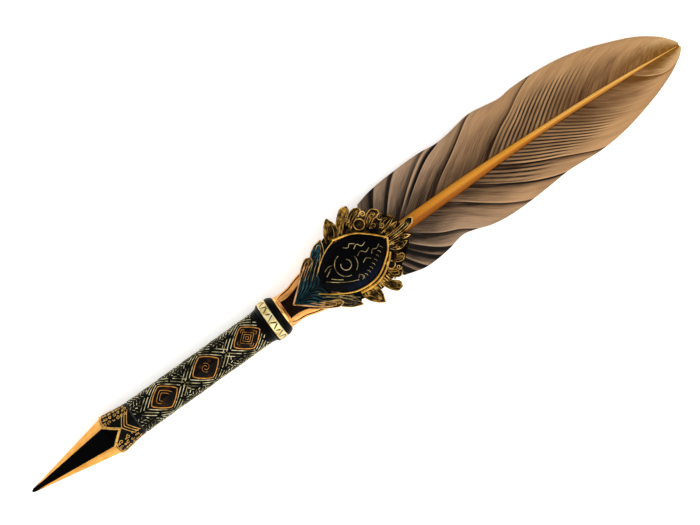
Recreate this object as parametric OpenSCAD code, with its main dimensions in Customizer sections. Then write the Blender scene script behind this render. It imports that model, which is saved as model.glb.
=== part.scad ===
// Ornamental quill pen: a dip nib and feed in a screwed-on collar, a lacquered
// barrel, an engraved ring, a square neck, a cast crest and a pull-out feather.
//
// The pen lies on its back along X, nib towards -X and crest upwards. Every
// piece is drawn along the pen's own axis, at stations measured from the nib's
// tip, and placed() then centres the pen and lifts it so that it rests on z = 0.

/* [Nib and feed] */
// Length of the nib that shows in front of the collar
nib_reach = 30.5; // [24:0.5:38]
// Width of the nib across its shoulders
nib_width = 12.7; // [11.5:0.1:15.5]
// Width of the nib at its writing tip
nib_tip_width = 1; // [0.8:0.1:1.4]
// Width of the feed's flat face where it meets the collar
feed_face = 7; // [5.8:0.1:8.4]
// Diameter of the feed's round tail
feed_d = 8.4; // [7:0.1:10]
// Depth that the nib and feed go into the collar
nib_seat = 7; // [5.8:0.1:8.5]
// Sheet thickness of the nib
nib_wall = 0.5; // [0.4:0.05:0.8]
// Diameter of the hole at the end of the nib's slit
breather_d = 1.6; // [1:0.1:2.4]
// Width of the slit in the nib
slit_w = 0.24; // [0.15:0.01:0.35]

/* [Collar] */
// Length of the collar from its front lobes to the seal
collar_length = 10; // [9:0.1:12]
// Radial thickness of the collar at its widest
collar_wall = 1.7; // [1.3:0.1:2.2]
// Depth of the V notches in the collar's front edge
notch_depth = 4.4; // [3:0.1:5.5]
// Thickness of the spring grip inside the collar
grip_wall = 0.35; // [0.25:0.05:0.5]
// Length of the threaded spigot behind the collar
spigot_length = 8; // [6:0.5:10]
// Thread pitch of the spigot
thread_pitch = 0.75; // [0.5:0.05:1]
// Thickness of the seal between collar and barrel
seal_t = 0.6; // [0.4:0.1:1]

/* [Barrel] */
// Length of the barrel sleeve from the seal to the ring
barrel_length = 51.2; // [42:0.2:64]
// Outside diameter of the barrel
barrel_d = 11.4; // [9.5:0.1:13.7]
// Thickness of the lacquered sleeve
sleeve_wall = 0.9; // [0.7:0.05:1.1]
// Thickness of the brass tube under the sleeve
tube_wall = 0.5; // [0.4:0.05:0.7]
// Thickness of the threaded bush in the barrel's front
bush_wall = 0.8; // [0.6:0.05:1]
// Length of the solid plug in the barrel's rear
plug_length = 7; // [5:0.5:10]
// Number of lozenge medallions along the barrel, on each face
lozenge_count = 3; // [1:1:4]
// Length of a medallion along the barrel
lozenge_length = 9.6; // [7:0.1:11.5]
// Width of a medallion round the barrel
lozenge_width = 8; // [6:0.1:9]

/* [Rings] */
// Diameter of the engraved ring
ring_d = 14; // [11.7:0.1:16.8]
// Width of the engraved ring
ring_width = 3; // [2.4:0.1:4]
// Width of the black bead behind the ring
bead_width = 2.2; // [1.8:0.1:3]
// Width of the thin ring at the neck
neck_ring_width = 1; // [0.8:0.1:1.5]
// Diameter of the stud that ties the neck to the barrel
stud_d = 4; // [3:0.1:4.6]

/* [Neck] */
// Width and thickness of the neck where it leaves the ring
neck_width = 11.2; // [9.4:0.1:12]
// Width of the tongue behind the crest
tongue_width = 15; // [13:0.1:18]
// Thickness of the tongue behind the crest
tongue_t = 7.2; // [7:0.1:8.6]
// Length of the neck and tongue together
neck_length = 31; // [27:0.5:37]
// Depth of the enamel panels in the neck
panel_t = 0.7; // [0.5:0.05:1]
// Width of the gold rails beside the panels
rail_w = 2.5; // [2:0.1:3]

/* [Crest] */
// Length of the crest from its point to its top leaf
crest_length = 46.4; // [39:0.2:55]
// Width of the crest across its widest leaves
crest_width = 31.6; // [27:0.2:38]
// Distance of the crest's point from the thin ring
crest_gap = 3.8; // [3.4:0.1:5]
// Thickness of the front plate
plate_t = 1.2; // [1:0.1:1.8]
// Thickness of the back plate
back_t = 1; // [0.8:0.1:1.5]
// Height of the shield's rim above the plate
rim_h = 1.1; // [0.8:0.1:1.6]
// Width of the shield's rim
rim_w = 1.1; // [0.8:0.1:1.5]
// Thickness of the enamel in the shield
enamel_t = 0.6; // [0.4:0.1:0.9]
// Thickness of the leaves
leaf_t = 1; // [0.7:0.1:1.4]
// Diameter of the screws through the crest
screw_d = 1.6; // [1.2:0.1:2]

/* [Feather] */
// Length of the feather from the end of its quill to its tip
feather_length = 136.5; // [115:0.5:166]
// Width of the feather at its widest
vane_width = 34.3; // [28:0.1:42]
// Thickness of each vane
vane_t = 0.9; // [0.6:0.1:1.2]
// Diameter of the quill where it leaves the crest
quill_d = 4.1; // [3.4:0.1:4.8]
// Depth that the quill goes into the neck
quill_seat = 16; // [13.5:0.5:17]
// Wall of the brass ferrule on the quill's end
ferrule_wall = 0.25; // [0.2:0.05:0.3]
// Length of the ferrule that shows behind the neck
ferrule_reach = 1.6; // [1:0.1:2.5]
// Thickness of the cork liner that grips the ferrule
liner_wall = 0.5; // [0.4:0.05:0.6]

/* [Hidden] */
$fn = 64;

// Clearances: a fixed fit, a running fit and a gap between pieces of trim
press_gap = 0.02;
run_gap = 0.05;
trim_gap = 0.1;
// Overcut that takes a tool past the face it cuts
over = 1;

// Radii from the inside of the collar outwards
tail_r = feed_d / 2 + press_gap + nib_wall;
grip_r = tail_r + run_gap + grip_wall;
collar_bore_r = grip_r + press_gap;
collar_r = collar_bore_r + collar_wall;

// Radii from the outside of the barrel inwards
barrel_r = barrel_d / 2;
tube_r = barrel_r - sleeve_wall;
tube_bore_r = tube_r - tube_wall;
bush_bore_r = tube_bore_r - bush_wall;
thread_r = bush_bore_r - run_gap;
thread_depth = 0.4;
vent_r = 1;
ring_r = ring_d / 2;
stud_r = stud_d / 2;
neck_lip = 0.15;
neck_ring_r = neck_width / 2 + neck_lip;

// Stations along the pen, from the nib's tip
s_collar = nib_reach;
s_notch = s_collar + notch_depth;
s_tail = s_collar + nib_seat;
s_seal = s_collar + collar_length;
s_barrel = s_seal + seal_t;
s_spigot = s_seal + spigot_length;
s_bush = s_spigot + 1.5;
s_ring = s_barrel + barrel_length;
s_bead = s_ring + ring_width;
s_neck_ring = s_bead + bead_width;
s_neck = s_neck_ring + neck_ring_width;
s_tongue = s_neck + neck_length;
s_crest = s_neck + crest_gap;
s_quill = s_tongue - quill_seat;
s_ferrule = s_tongue + ferrule_reach;
overall_length = s_quill + feather_length;
s_crest_end = s_crest + crest_length;

// The pen rests on its two widest rings
axis_height = max(ring_r, collar_r);

// Heights of the crest's layers above the pen's axis
plate_z = tongue_t / 2;
face_z = plate_z + plate_t;

// Radii at the quill
ferrule_r = quill_d / 2 + ferrule_wall;
liner_bore_r = ferrule_r + run_gap;
liner_r = liner_bore_r + liner_wall;
socket_r = liner_r + press_gap;

module placed() translate([-overall_length / 2, 0, axis_height]) children();

// A solid turned about the pen's axis from [station, radius] points
module turned(points)
    rotate([0, 90, 0]) rotate_extrude() polygon([for (p = points) [p[1], p[0]]]);

// A round bar or hole along the pen's axis
module bar(from, to, r)
    translate([from, 0, 0]) rotate([0, 90, 0]) cylinder(h = to - from, r = r);

// A flat piece cut to a top-view outline between two heights
module slab(low, high) translate([0, 0, low]) linear_extrude(height = high - low) children();

// A solid through a list of rings of points, closed at both ends
module loft(rings) {
    n = len(rings[0]);
    last = len(rings) - 1;
    sides = [for (i = [0 : last - 1], j = [0 : n - 1], half = [0, 1])
        let (a = i * n + j, b = i * n + (j + 1) % n)
        half == 0 ? [a, b, a + n] : [b, b + n, a + n]];
    front = [[for (j = [n - 1 : -1 : 0]) j]];
    back = [[for (j = [0 : n - 1]) last * n + j]];
    polyhedron([for (ring = rings, p = ring) p], concat(front, sides, back));
}

function mix(a, b, t) = a + (b - a) * t;
function curve(p, n) = [for (i = [0 : n]) let (t = i / n, u = 1 - t)
    u * u * u * p[0] + 3 * u * u * t * p[1] + 3 * u * t * t * p[2] + t * t * t * p[3]];
function mirrored(points) = [for (i = [len(points) - 1 : -1 : 0]) [points[i][0], -points[i][1]]];

// ---- Nib and feed -------------------------------------------------------

// The nib's section tapers evenly to the tip: its half-width, its back's depth as
// a share of that, and the half-width and height of the feed's flat face
back_share = 0.82;
face_share = 0.38;
tip_height = 0.35;
function nib_half(s) = mix(nib_tip_width, nib_width, s / nib_reach) / 2;
function face_half(s) = mix(nib_tip_width * 0.8, feed_face, s / nib_reach) / 2;
function face_height(s) = mix(tip_height, feed_d * face_share, s / nib_reach);

// A section with a flat top, two bevels and a rounded back
back_steps = 8;
function flat_ring(s, flat_half, height, half, depth) = concat(
    [[s, flat_half, height]],
    [for (i = [0 : back_steps]) let (a = i / back_steps * 180) [s, half * cos(a), -depth * sin(a)]],
    [[s, -flat_half, height]]);

// The nib's outside: two bevels that rise to the feed, and a rounded back
function nib_ring(s) =
    flat_ring(s, face_half(s), face_height(s), nib_half(s), nib_half(s) * back_share);

// The feed's front fills the nib to within a wall, and stays inside its own tail
feed_point = 0.15;
function feed_half(s) = max(feed_point, min(nib_half(s) - 1.5 * nib_wall, feed_d / 2 - press_gap));
function feed_depth(s) = max(feed_point, min(nib_half(s) * back_share - nib_wall, feed_d / 2 - press_gap));
function feed_ring(s, gap) = flat_ring(s, face_half(s) - 2 * press_gap + gap,
    face_height(s), feed_half(s) + gap, feed_depth(s) + gap);

// A ring's two walls carried on past its flat top, and then straight up
function carried(corner, root) = root + (corner - root) * (1 + trim_gap / (corner[2] - root[2]));
function raised(ring) = let (
    last = len(ring) - 1,
    right = carried(ring[0], ring[1]),
    left = carried(ring[last], ring[last - 1]))
    concat([right + [0, 0, over], right], [for (i = [1 : last - 1]) ring[i]], [left, left + [0, 0, over]]);

feed_start = 1.5;
ramp = [-1, 0, tip_height + feed_point + trim_gap];
feed_full = nib_reach * min(0.95, (feed_d + 3 * nib_wall - nib_tip_width) / (nib_width - nib_tip_width));
feed_shoulder = s_collar + 0.5;
tail_half = feed_d / 2 - press_gap;
tail_flat = feed_d * (face_share - 0.02);
shell_top = feed_d * 0.06;
shell_step = 0.02;
slit_end = nib_reach * 0.6;
channel_w = 0.8;
channel_top = -feed_d * 0.34;

function tail_ring(s, r, top) = flat_ring(s, sqrt(r * r - top * top), top, r, r);
front_steps = 6;
function front_rings(gap) = concat(
    [for (i = [0 : front_steps]) feed_ring(mix(feed_start, feed_full, i / front_steps), gap)],
    [feed_ring(s_collar, gap)]);

module nib() color("goldenrod") difference() {
    loft([nib_ring(0), nib_ring(s_collar - shell_step), tail_ring(s_collar, tail_r, shell_top),
        tail_ring(s_tail, tail_r, shell_top)]);
    // The channel ramps down from the nib's face to the feed's front end
    loft([for (ring = concat([[for (p = feed_ring(feed_start, press_gap)) p + ramp]], front_rings(press_gap),
        [for (s = [s_collar + shell_step, s_tail + over])
            tail_ring(s, tail_half + press_gap, shell_top)])) raised(ring)]);
    translate([slit_end, 0, -nib_width]) cylinder(h = nib_width, d = breather_d, $fn = 32);
    slab(-nib_width, nib_width) translate([-over, -slit_w / 2]) square([slit_end + over, slit_w]);
}

module feed() color("#0b0a0c") difference() {
    loft(concat(front_rings(0),
        [for (s = [feed_shoulder, s_tail]) tail_ring(s, tail_half, tail_flat)]));
    // Ink and air channel down the back of the feed
    slab(-feed_d, channel_top)
        translate([slit_end, -channel_w / 2]) square([nib_reach + nib_seat, channel_w]);
}

// ---- Collar and its screwed section -------------------------------------

grip_slots = 3;
grip_slot_w = 0.6;
grip_slot_length = nib_seat * 0.6;

module nib_grip() color("silver") difference() {
    bar(feed_shoulder + trim_gap, s_tail, grip_r);
    bar(s_collar, s_tail + over, tail_r + run_gap);
    // The gap at the top leaves the feed clear, and the slots make the grip springy
    slab(feed_d * 0.12, grip_r + over)
        translate([s_collar, -grip_r - over]) square([nib_seat + over, 2 * grip_r + 2 * over]);
    for (i = [1 : grip_slots])
        rotate([-180 * i / (grip_slots + 1), 0, 0]) translate([s_collar, 0, -grip_slot_w / 2])
            cube([grip_slot_length, grip_r + over, grip_slot_w]);
}

// The V that shows the feed, cut through the wall on the face and on the back
module notch(low, high) slab(low, high)
    polygon([[s_collar - over, feed_face / 2 * (1 + over / notch_depth)], [s_notch, 0],
        [s_collar - over, -feed_face / 2 * (1 + over / notch_depth)]]);

module section_collar() color("#2a2312") difference() {
    turned([[s_collar, collar_bore_r], [s_collar, collar_r - 0.35],
        [s_collar + 0.5, collar_r - 0.1], [s_collar + 1.4, collar_r], [s_collar + 3.4, collar_r - 0.15],
        [s_seal - 2.4, mix(barrel_r, collar_r, 0.3)], [s_seal, barrel_r + 0.15], [s_seal, collar_bore_r]]);
    notch(0, collar_r + over);
    notch(-collar_r - over, 0);
}

module section_core() color("#c9a24a") difference() {
    union() {
        bar(s_tail + 0.1, s_seal, grip_r);
        turned(concat([[s_seal - 0.1, 0]], [[s_seal - 0.1, thread_r]],
            [for (i = [0 : floor(spigot_length / thread_pitch) - 1], edge = [0, 1])
                [s_seal + 0.1 + (i + 0.3 + edge * 0.35) * thread_pitch,
                    thread_r - (edge == 0 ? 0 : thread_depth)]],
            [[s_spigot, thread_r - thread_depth], [s_spigot, 0]]));
    }
    bar(s_tail - over, s_spigot + over, vent_r);
}

module section_seal() color("#1a1a1a") difference() {
    bar(s_seal, s_barrel, barrel_r - 0.25);
    bar(s_seal - over, s_barrel + over, thread_r + run_gap);
}

// ---- Barrel -------------------------------------------------------------

module barrel_bush() color("#b8923c") difference() {
    bar(s_barrel, s_bush, tube_bore_r - press_gap);
    bar(s_barrel - over, s_bush + over, bush_bore_r);
}

module barrel_tube() color("#b8923c") difference() {
    bar(s_barrel, s_ring, tube_r - press_gap);
    bar(s_barrel - over, s_ring + over, tube_bore_r);
}

flare_length = 2.4;
module barrel_sleeve() color("#101010") difference() {
    turned([[s_barrel, 0], [s_barrel, barrel_r + 0.15], [s_barrel + 4, barrel_r],
        [s_ring - flare_length, barrel_r], [s_ring - flare_length * 0.5, mix(barrel_r, ring_r, 0.35)],
        [s_ring - 0.4, mix(barrel_r, ring_r, 0.8)], [s_ring, mix(barrel_r, ring_r, 0.85)], [s_ring, 0]]);
    bar(s_barrel - over, s_ring + over, tube_r);
}

// Medallions sit in a row on the barrel's face, and again on its back
lozenge_lead = 3.2;
lozenge_pitch = (barrel_length - lozenge_lead) / lozenge_count;
function lozenge_station(i) = s_barrel + lozenge_lead + lozenge_pitch * (i + 0.5);
lozenge_rim = 0.7;
lozenge_lift = 0.35;

module lozenge_outline(grow) {
    a = lozenge_length / 2 + grow;
    b = lozenge_width / 2 + grow;
    polygon([[-a, 0], [-a * 0.45, b * 0.72], [0, b], [a * 0.45, b * 0.72],
        [a, 0], [a * 0.45, -b * 0.72], [0, -b], [-a * 0.45, -b * 0.72]]);
}

module on_barrel_faces(low, high)
    for (turn = [0, 180], i = [0 : lozenge_count - 1])
        rotate([turn, 0, 0]) intersection() {
            difference() {
                bar(s_barrel, s_ring, high);
                bar(s_barrel - over, s_ring + over, low);
            }
            slab(0, ring_r + over) translate([lozenge_station(i), 0]) children();
        }

module barrel_lozenges() color("#4a2410")
    on_barrel_faces(barrel_r + press_gap, barrel_r + lozenge_lift * 0.5) lozenge_outline(-press_gap);

module lozenge_rims() color("#c98a2c")
    on_barrel_faces(barrel_r + press_gap, barrel_r + lozenge_lift) difference() {
        lozenge_outline(lozenge_rim);
        lozenge_outline(0);
    }

module barrel_plug() color("#b8923c") difference() {
    bar(s_ring - plug_length, s_ring, tube_bore_r - press_gap);
    bar(s_ring - plug_length - over, s_ring + over, stud_r + press_gap);
}

// ---- Rings and stud -----------------------------------------------------

module engraved_ring() color("#e3c766") difference() {
    bar(s_ring, s_bead, ring_r);
    bar(s_ring - over, s_bead + over, stud_r + press_gap);
}

module black_bead() color("#0c0c0c") difference() {
    turned([[s_bead, 0], [s_bead, ring_r - 0.1], [s_bead + bead_width * 0.35, ring_r - 0.15],
        [s_neck_ring, neck_ring_r + 0.3], [s_neck_ring, 0]]);
    bar(s_bead - over, s_neck_ring + over, stud_r + press_gap);
}

module neck_ring() color("#dba64f") difference() {
    bar(s_neck_ring, s_neck, neck_ring_r);
    bar(s_neck_ring - over, s_neck + over, stud_r + press_gap);
}

stud_reach = 5;
module neck_stud() color("#9a9a9a")
    bar(s_ring - plug_length + 0.5, s_neck + stud_reach, stud_r);

// ---- Neck ---------------------------------------------------------------

flare_end = s_neck + crest_gap;
neck_steps = 10;

// Top-view half-width: a waist that flares out to the tongue
function neck_edge(inset) = curve([[s_neck, neck_width / 2 - inset],
    [s_neck + 4, neck_width / 2 - 0.3 - inset], [s_neck + 6, neck_width / 2 - inset],
    [s_neck + 12, tongue_width / 2 - inset]], neck_steps);

// Side-view half-thickness: a scoop down to the flat that carries the crest
function neck_scoop(inset) = curve([[s_neck, neck_width / 2 - 0.2 - inset],
    [s_neck + crest_gap * 0.3, tongue_t / 2 + 0.5 - inset], [s_neck + crest_gap * 0.6, tongue_t / 2 - inset],
    [flare_end, tongue_t / 2 - inset]], neck_steps);

function closed_to(points, s_end, half) = concat(points, [[s_end, half]], [[s_end, -half]], mirrored(points));

module neck_block(side_inset, face_inset, s_end) intersection() {
    slab(-neck_width, neck_width)
        polygon(closed_to(neck_edge(side_inset), s_end, tongue_width / 2 - side_inset));
    rotate([90, 0, 0]) slab(-tongue_width, tongue_width)
        polygon(closed_to(neck_scoop(face_inset), s_end, tongue_t / 2 - face_inset));
}

module neck_round() turned([[s_neck, 0], [s_neck, neck_ring_r], [s_neck + crest_gap, neck_ring_r + 0.5],
    [s_neck + 12, tongue_width * 0.62], [s_tongue, tongue_width * 0.62], [s_tongue, 0]]);

panel_start = s_neck + 0.7;
panel_end = s_crest + 11;

// The enamel's bed: the layer just under the neck's face, between its rails
module panel_bed(gap, depth) intersection() {
    difference() {
        neck_block(rail_w + gap, 0, s_tongue);
        neck_block(0, depth, s_tongue);
    }
    slab(0, neck_width) translate([panel_start + gap, -tongue_width])
        square([panel_end - panel_start - 2 * gap, 2 * tongue_width]);
}

screw_r = screw_d / 2;
screw_y = tongue_width / 2 - screw_d - 0.2;
screw_stations = [s_neck + 15, s_tongue - 2.6];

module at_screws() for (s = screw_stations, side = [-1, 1]) translate([s, side * screw_y, 0]) children();

module neck_frame() color("#d99a4e") difference() {
    intersection() {
        neck_block(0, 0, s_tongue);
        neck_round();
    }
    panel_bed(0, panel_t);
    rotate([180, 0, 0]) panel_bed(0, panel_t);
    bar(s_neck - over, s_neck + stud_reach + 0.3, stud_r + press_gap);
    bar(s_quill - 0.3, s_tongue + over, socket_r);
    at_screws() cylinder(h = 2 * tongue_t, r = screw_r + press_gap, center = true, $fn = 32);
}

module neck_panel_front() color("#2a1206") intersection() {
    panel_bed(press_gap, panel_t - press_gap);
    neck_round();
}

module neck_panel_back() color("#2a1206") intersection() {
    rotate([180, 0, 0]) panel_bed(press_gap, panel_t - press_gap);
    neck_round();
}

module quill_liner() color("#a87b4d") difference() {
    bar(s_quill - 0.2, s_tongue, liner_r);
    bar(s_quill, s_tongue + over, liner_bore_r);
}

// ---- Crest --------------------------------------------------------------

// Places along and across the crest, as shares of its length and half-width
function cx(share) = s_crest + crest_length * share;
function cy(share) = crest_width / 2 * share;

// The shield: straight sides from a long point, then two bows to a short point
function shield_side() = concat([[cx(0.16), 0]],
    curve([[cx(0.39), cy(0.50)], [cx(0.47), cy(0.60)], [cx(0.66), cy(0.42)], [cx(0.78), 0]], 14));
shield_points = concat(shield_side(), [for (p = mirrored(shield_side())) if (p[1] < -0.01) p]);
shield_middle = cx(0.46);

module shield(grow) {
    k = 1 + grow / (crest_width * 0.26);
    polygon([for (p = shield_points) [shield_middle + (p[0] - shield_middle) * (1 + grow / (crest_length * 0.3)), p[1] * k]]);
}

// The plate under the leaves: a point, two shoulders and a blunt end
function plate_side() = concat([[cx(0), 0]], [[cx(0.16), cy(0.39)]],
    curve([[cx(0.38), cy(0.72)], [cx(0.55), cy(0.86)], [cx(0.75), cy(0.75)], [cx(0.9), cy(0.12)]], 10));

module plate_outline() polygon(concat(plate_side(), [for (p = mirrored(plate_side())) if (p[1] < -0.01) p]));

// A pointed leaf from its root, drawn as the overlap of two circles
module leaf(length, width, angle) rotate(angle) translate([length / 2, 0]) {
    r = (length * length / 4 + width * width / 4) / width;
    intersection() {
        translate([0, r - width / 2]) circle(r = r, $fn = 96);
        translate([0, -r + width / 2]) circle(r = r, $fn = 96);
    }
}

// Leaves up one edge: root along and across, length and width as shares of the
// crest's width, and angle
leaf_rows = [
    [0.15, 0.28, 0.25, 0.13, 44],
    [0.26, 0.46, 0.30, 0.14, 42],
    [0.41, 0.55, 0.24, 0.17, 62],
    [0.53, 0.54, 0.31, 0.17, 49],
    [0.66, 0.47, 0.26, 0.14, 44],
    [0.77, 0.25, 0.27, 0.13, 46]
];
top_leaf_w = 4.6;

module leaf_at(row, side, gap) translate([cx(row[0]), side * cy(row[1])])
    leaf(row[2] * crest_width + 2 * gap, row[3] * crest_width + 2 * gap, side * row[4]);

module leaf_row(side) slab(face_z, face_z + leaf_t) difference() {
    for (row = leaf_rows) leaf_at(row, side, 0);
    shield(rim_w + trim_gap);
    chevron(trim_gap);
}

module chevron(gap) polygon([[cx(0.02) - gap, 0], [cx(0.15) - gap, cy(0.33) + gap], [cx(0.30), cy(0.54) + gap],
    [cx(0.30) + gap, cy(0.40)], [cx(0.12) + gap, 0], [cx(0.30) + gap, -cy(0.40)],
    [cx(0.30), -cy(0.54) - gap], [cx(0.15) - gap, -cy(0.33) - gap]]);

module crest_front_plate() color("#3a2c10") difference() {
    slab(plate_z, face_z) plate_outline();
    at_screws() cylinder(h = face_z - 0.4, r = screw_r + press_gap, $fn = 32);
}

module crest_back_plate() color("#8a6a2a") difference() {
    slab(-plate_z - back_t, -plate_z) plate_outline();
    at_screws() translate([0, 0, -tongue_t]) cylinder(h = tongue_t, r = screw_r + press_gap, $fn = 32);
}

module crest_rim() color("#d9a02e") slab(face_z, face_z + rim_h) difference() {
    shield(rim_w);
    shield(0);
}

module crest_shield_enamel() color("#07080c") slab(face_z, face_z + enamel_t) shield(-run_gap);

module crest_chevron_enamel() color("#0d3440") slab(face_z, face_z + enamel_t) difference() {
    chevron(0);
    shield(rim_w + trim_gap);
}

// A plain cup-and-scroll device in raised wire on the shield
wire_w = 0.45;
wire_h = 0.35;
module wire_line(a, b) {
    run = norm(b - a);
    translate(a) rotate(atan2(b[1] - a[1], b[0] - a[0])) translate([0, -wire_w / 2]) square([run, wire_w]);
}
module crest_motif() color("#c9a548") slab(face_z + enamel_t, face_z + enamel_t + wire_h) {
    translate([cx(0.45), 0]) difference() {
        circle(r = 3.6);
        circle(r = 3.6 - wire_w);
    }
    for (side = [-1, 1]) {
        wire_line([cx(0.45) + 3.4, side * 0.2], [cx(0.62), side * 2.6]);
        wire_line([cx(0.62), side * 2.6], [cx(0.68), side * 0.9]);
        wire_line([cx(0.45) - 3.4, side * 0.2], [cx(0.31), side * 2.4]);
    }
}

module crest_leaves_left() color("#c8952c") leaf_row(1);
module crest_leaves_right() color("#c8952c") leaf_row(-1);

module crest_top_leaf() color("#c8952c") slab(face_z, face_z + leaf_t) difference() {
    translate([cx(0.78), 0]) leaf(crest_length * 0.22, top_leaf_w, 0);
    shield(rim_w + trim_gap);
    for (side = [-1, 1]) leaf_at(leaf_rows[len(leaf_rows) - 1], side, trim_gap);
}

module crest_screws() color("#b9b3a4") at_screws() difference() {
    union() {
        translate([0, 0, -plate_z - back_t - 0.6]) cylinder(h = 0.6, r = screw_r * 1.7, $fn = 32);
        translate([0, 0, -plate_z - back_t]) cylinder(h = back_t + tongue_t + plate_t * 0.6, r = screw_r, $fn = 32);
    }
    translate([-screw_d * 2, -0.15, -plate_z - back_t - 1]) cube([screw_d * 4, 0.3, 0.7]);
}

// ---- Feather ------------------------------------------------------------

s_vane = s_ferrule + trim_gap;
s_free = s_crest_end;
free_length = overall_length - s_free;
shaft_end = 0.93;
side_bow = 4.3;

// Share of the free length behind the crest, 0 at the crest's end and 1 at the tip
function free_share(s) = max(0, (s - s_free) / free_length);

// The feather's midline: a bow to one side, and a dip that lifts at the tip
function midline_y(s) = -side_bow * pow(free_share(s), 2.6);
function midline_z(s) = let (q = free_share(s)) -18 * q * q + 19.5 * q * q * q;

// The quill narrows to a thread towards the tip
function shaft_half(s) = quill_d / 2 * (1 - pow(min(1, free_share(s) / (shaft_end + 0.04)), 1.2));

ferrule_cap = 0.5;

module quill_ferrule() color("#c9a24a") difference() {
    bar(s_quill + trim_gap, s_ferrule, ferrule_r);
    bar(s_quill + trim_gap + ferrule_cap, s_ferrule + over, quill_d / 2 + press_gap);
}

shaft_sides = 12;
function shaft_ring(s) = [for (i = [0 : shaft_sides - 1]) let (a = -360 * i / shaft_sides, r = max(0.12, shaft_half(s)))
    [s, midline_y(s) + r * cos(a), midline_z(s) + r * sin(a)]];

module quill_shaft() color("#d9932a") loft(concat(
    [shaft_ring(s_quill + trim_gap + ferrule_cap + press_gap), shaft_ring(s_free)],
    [for (i = [1 : 18]) shaft_ring(s_free + free_length * shaft_end * i / 18)]));

vane_rows = 30;
vane_columns = 5;

// Half-width of the feather: full along its length, closing in a round tip
function vane_half(s) = let (t = min(0.9999, (s - s_vane) / (overall_length - s_vane)))
    vane_width / 2 * pow(1 - pow(t, 5), 0.65) * (0.8 + 0.2 * sin(90 * min(1, t / 0.35)));

// How far the vane's edge hangs below the quill: it meets the table once
table_drop = axis_height - vane_t / 2;
contact_share = 0.5;
contact_station = mix(s_free, overall_length, contact_share);
full_droop = table_drop + midline_z(contact_station);
function droop(s) = full_droop * min(1, 0.6 + 0.4 * free_share(s) / contact_share)
    * (s < contact_station ? 1 : 1 - 0.5 * (free_share(s) - contact_share) / (1 - contact_share));

function vane_point(s, side, share, level) = let (
    inner = shaft_half(s) + 0.08,
    outer = max(inner + 0.1, vane_half(s)),
    across = mix(inner, outer, share))
    [s, midline_y(s) + side * across, midline_z(s) - droop(s) * pow(across / max(1, vane_half(s)), 1.8) + level];

function vane_ring(s, side) = let (edge = [for (j = [0 : vane_columns]) j / vane_columns])
    let (ring = concat([for (t = edge) vane_point(s, side, t, vane_t / 2)],
        [for (j = [vane_columns : -1 : 0]) vane_point(s, side, j / vane_columns, -vane_t / 2)]))
    side > 0 ? [for (i = [len(ring) - 1 : -1 : 0]) ring[i]] : ring;

module vane(side) loft([for (i = [0 : vane_rows]) let (t = i / vane_rows)
    vane_ring(mix(s_vane, overall_length, 1 - pow(1 - t, 1.4)), side)]);

module vane_left() color("#8a6a48") vane(1);
module vane_right() color("#8a6a48") vane(-1);

// ---- Build --------------------------------------------------------------

placed() {
    nib();
    feed();
    nib_grip();
    section_collar();
    section_core();
    section_seal();
    barrel_bush();
    barrel_tube();
    barrel_sleeve();
    barrel_lozenges();
    lozenge_rims();
    barrel_plug();
    engraved_ring();
    black_bead();
    neck_ring();
    neck_stud();
    neck_frame();
    neck_panel_front();
    neck_panel_back();
    quill_liner();
    crest_back_plate();
    crest_front_plate();
    crest_rim();
    crest_shield_enamel();
    crest_chevron_enamel();
    crest_motif();
    crest_leaves_left();
    crest_leaves_right();
    crest_top_leaf();
    crest_screws();
    quill_ferrule();
    quill_shaft();
    vane_left();
    vane_right();
}
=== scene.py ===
import math
import random

import bmesh
import bpy
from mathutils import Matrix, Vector, noise


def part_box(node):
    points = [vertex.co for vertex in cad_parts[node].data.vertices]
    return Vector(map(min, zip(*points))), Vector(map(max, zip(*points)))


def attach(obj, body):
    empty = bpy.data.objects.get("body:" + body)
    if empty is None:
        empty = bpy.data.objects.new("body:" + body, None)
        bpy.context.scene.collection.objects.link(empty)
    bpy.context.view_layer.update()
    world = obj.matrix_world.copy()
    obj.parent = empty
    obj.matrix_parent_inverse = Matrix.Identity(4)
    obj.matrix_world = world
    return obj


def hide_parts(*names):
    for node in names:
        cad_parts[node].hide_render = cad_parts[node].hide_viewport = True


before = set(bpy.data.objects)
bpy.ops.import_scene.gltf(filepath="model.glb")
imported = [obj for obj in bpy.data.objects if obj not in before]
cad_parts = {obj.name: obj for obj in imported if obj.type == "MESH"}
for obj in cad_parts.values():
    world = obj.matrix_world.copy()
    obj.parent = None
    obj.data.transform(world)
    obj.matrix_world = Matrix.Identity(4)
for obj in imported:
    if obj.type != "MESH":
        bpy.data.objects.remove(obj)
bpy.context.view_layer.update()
mm = 0.001

# ---- Table top, light and camera ----------------------------------------
# A pale matt table top, faintly lit from within, under three soft lamps. A long lens
# straight above turns the pen to rise from lower left to upper right.
tip_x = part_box("nib")[0].x
axis_z = sum(corner.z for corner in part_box("engraved_ring")) / 2
table_size = 3.0
pen_slope = math.radians(35.6)
lens_height = 618 * mm
pen_offset = Vector((-0.5, 0.45, 0)) * mm


def surface(name, colour, roughness=0.5, metallic=0.0, specular=0.5):
    """A material with its shader's plain values set."""
    material = bpy.data.materials.new(name)
    material.use_nodes = True
    for socket, value in (("Base Color", (*colour, 1)), ("Roughness", roughness),
                          ("Metallic", metallic), ("Specular IOR Level", specular)):
        shader_of(material).inputs[socket].default_value = value
    return material


def shader_of(material):
    return material.node_tree.nodes["Principled BSDF"]


def add_node(material, kind, inputs=(), **settings):
    """A node with its settings made and its sockets filled, by value or by link."""
    node = material.node_tree.nodes.new("ShaderNode" + kind)
    for key, value in settings.items():
        setattr(node, key, value)
    for key, value in dict(inputs).items():
        if isinstance(value, bpy.types.NodeSocket):
            material.node_tree.links.new(value, node.inputs[key])
        else:
            node.inputs[key].default_value = value
    return node


def drive(material, source, socket="Base Color"):
    """Feeds one of the shader's sockets."""
    material.node_tree.links.new(source, shader_of(material).inputs[socket])


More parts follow.
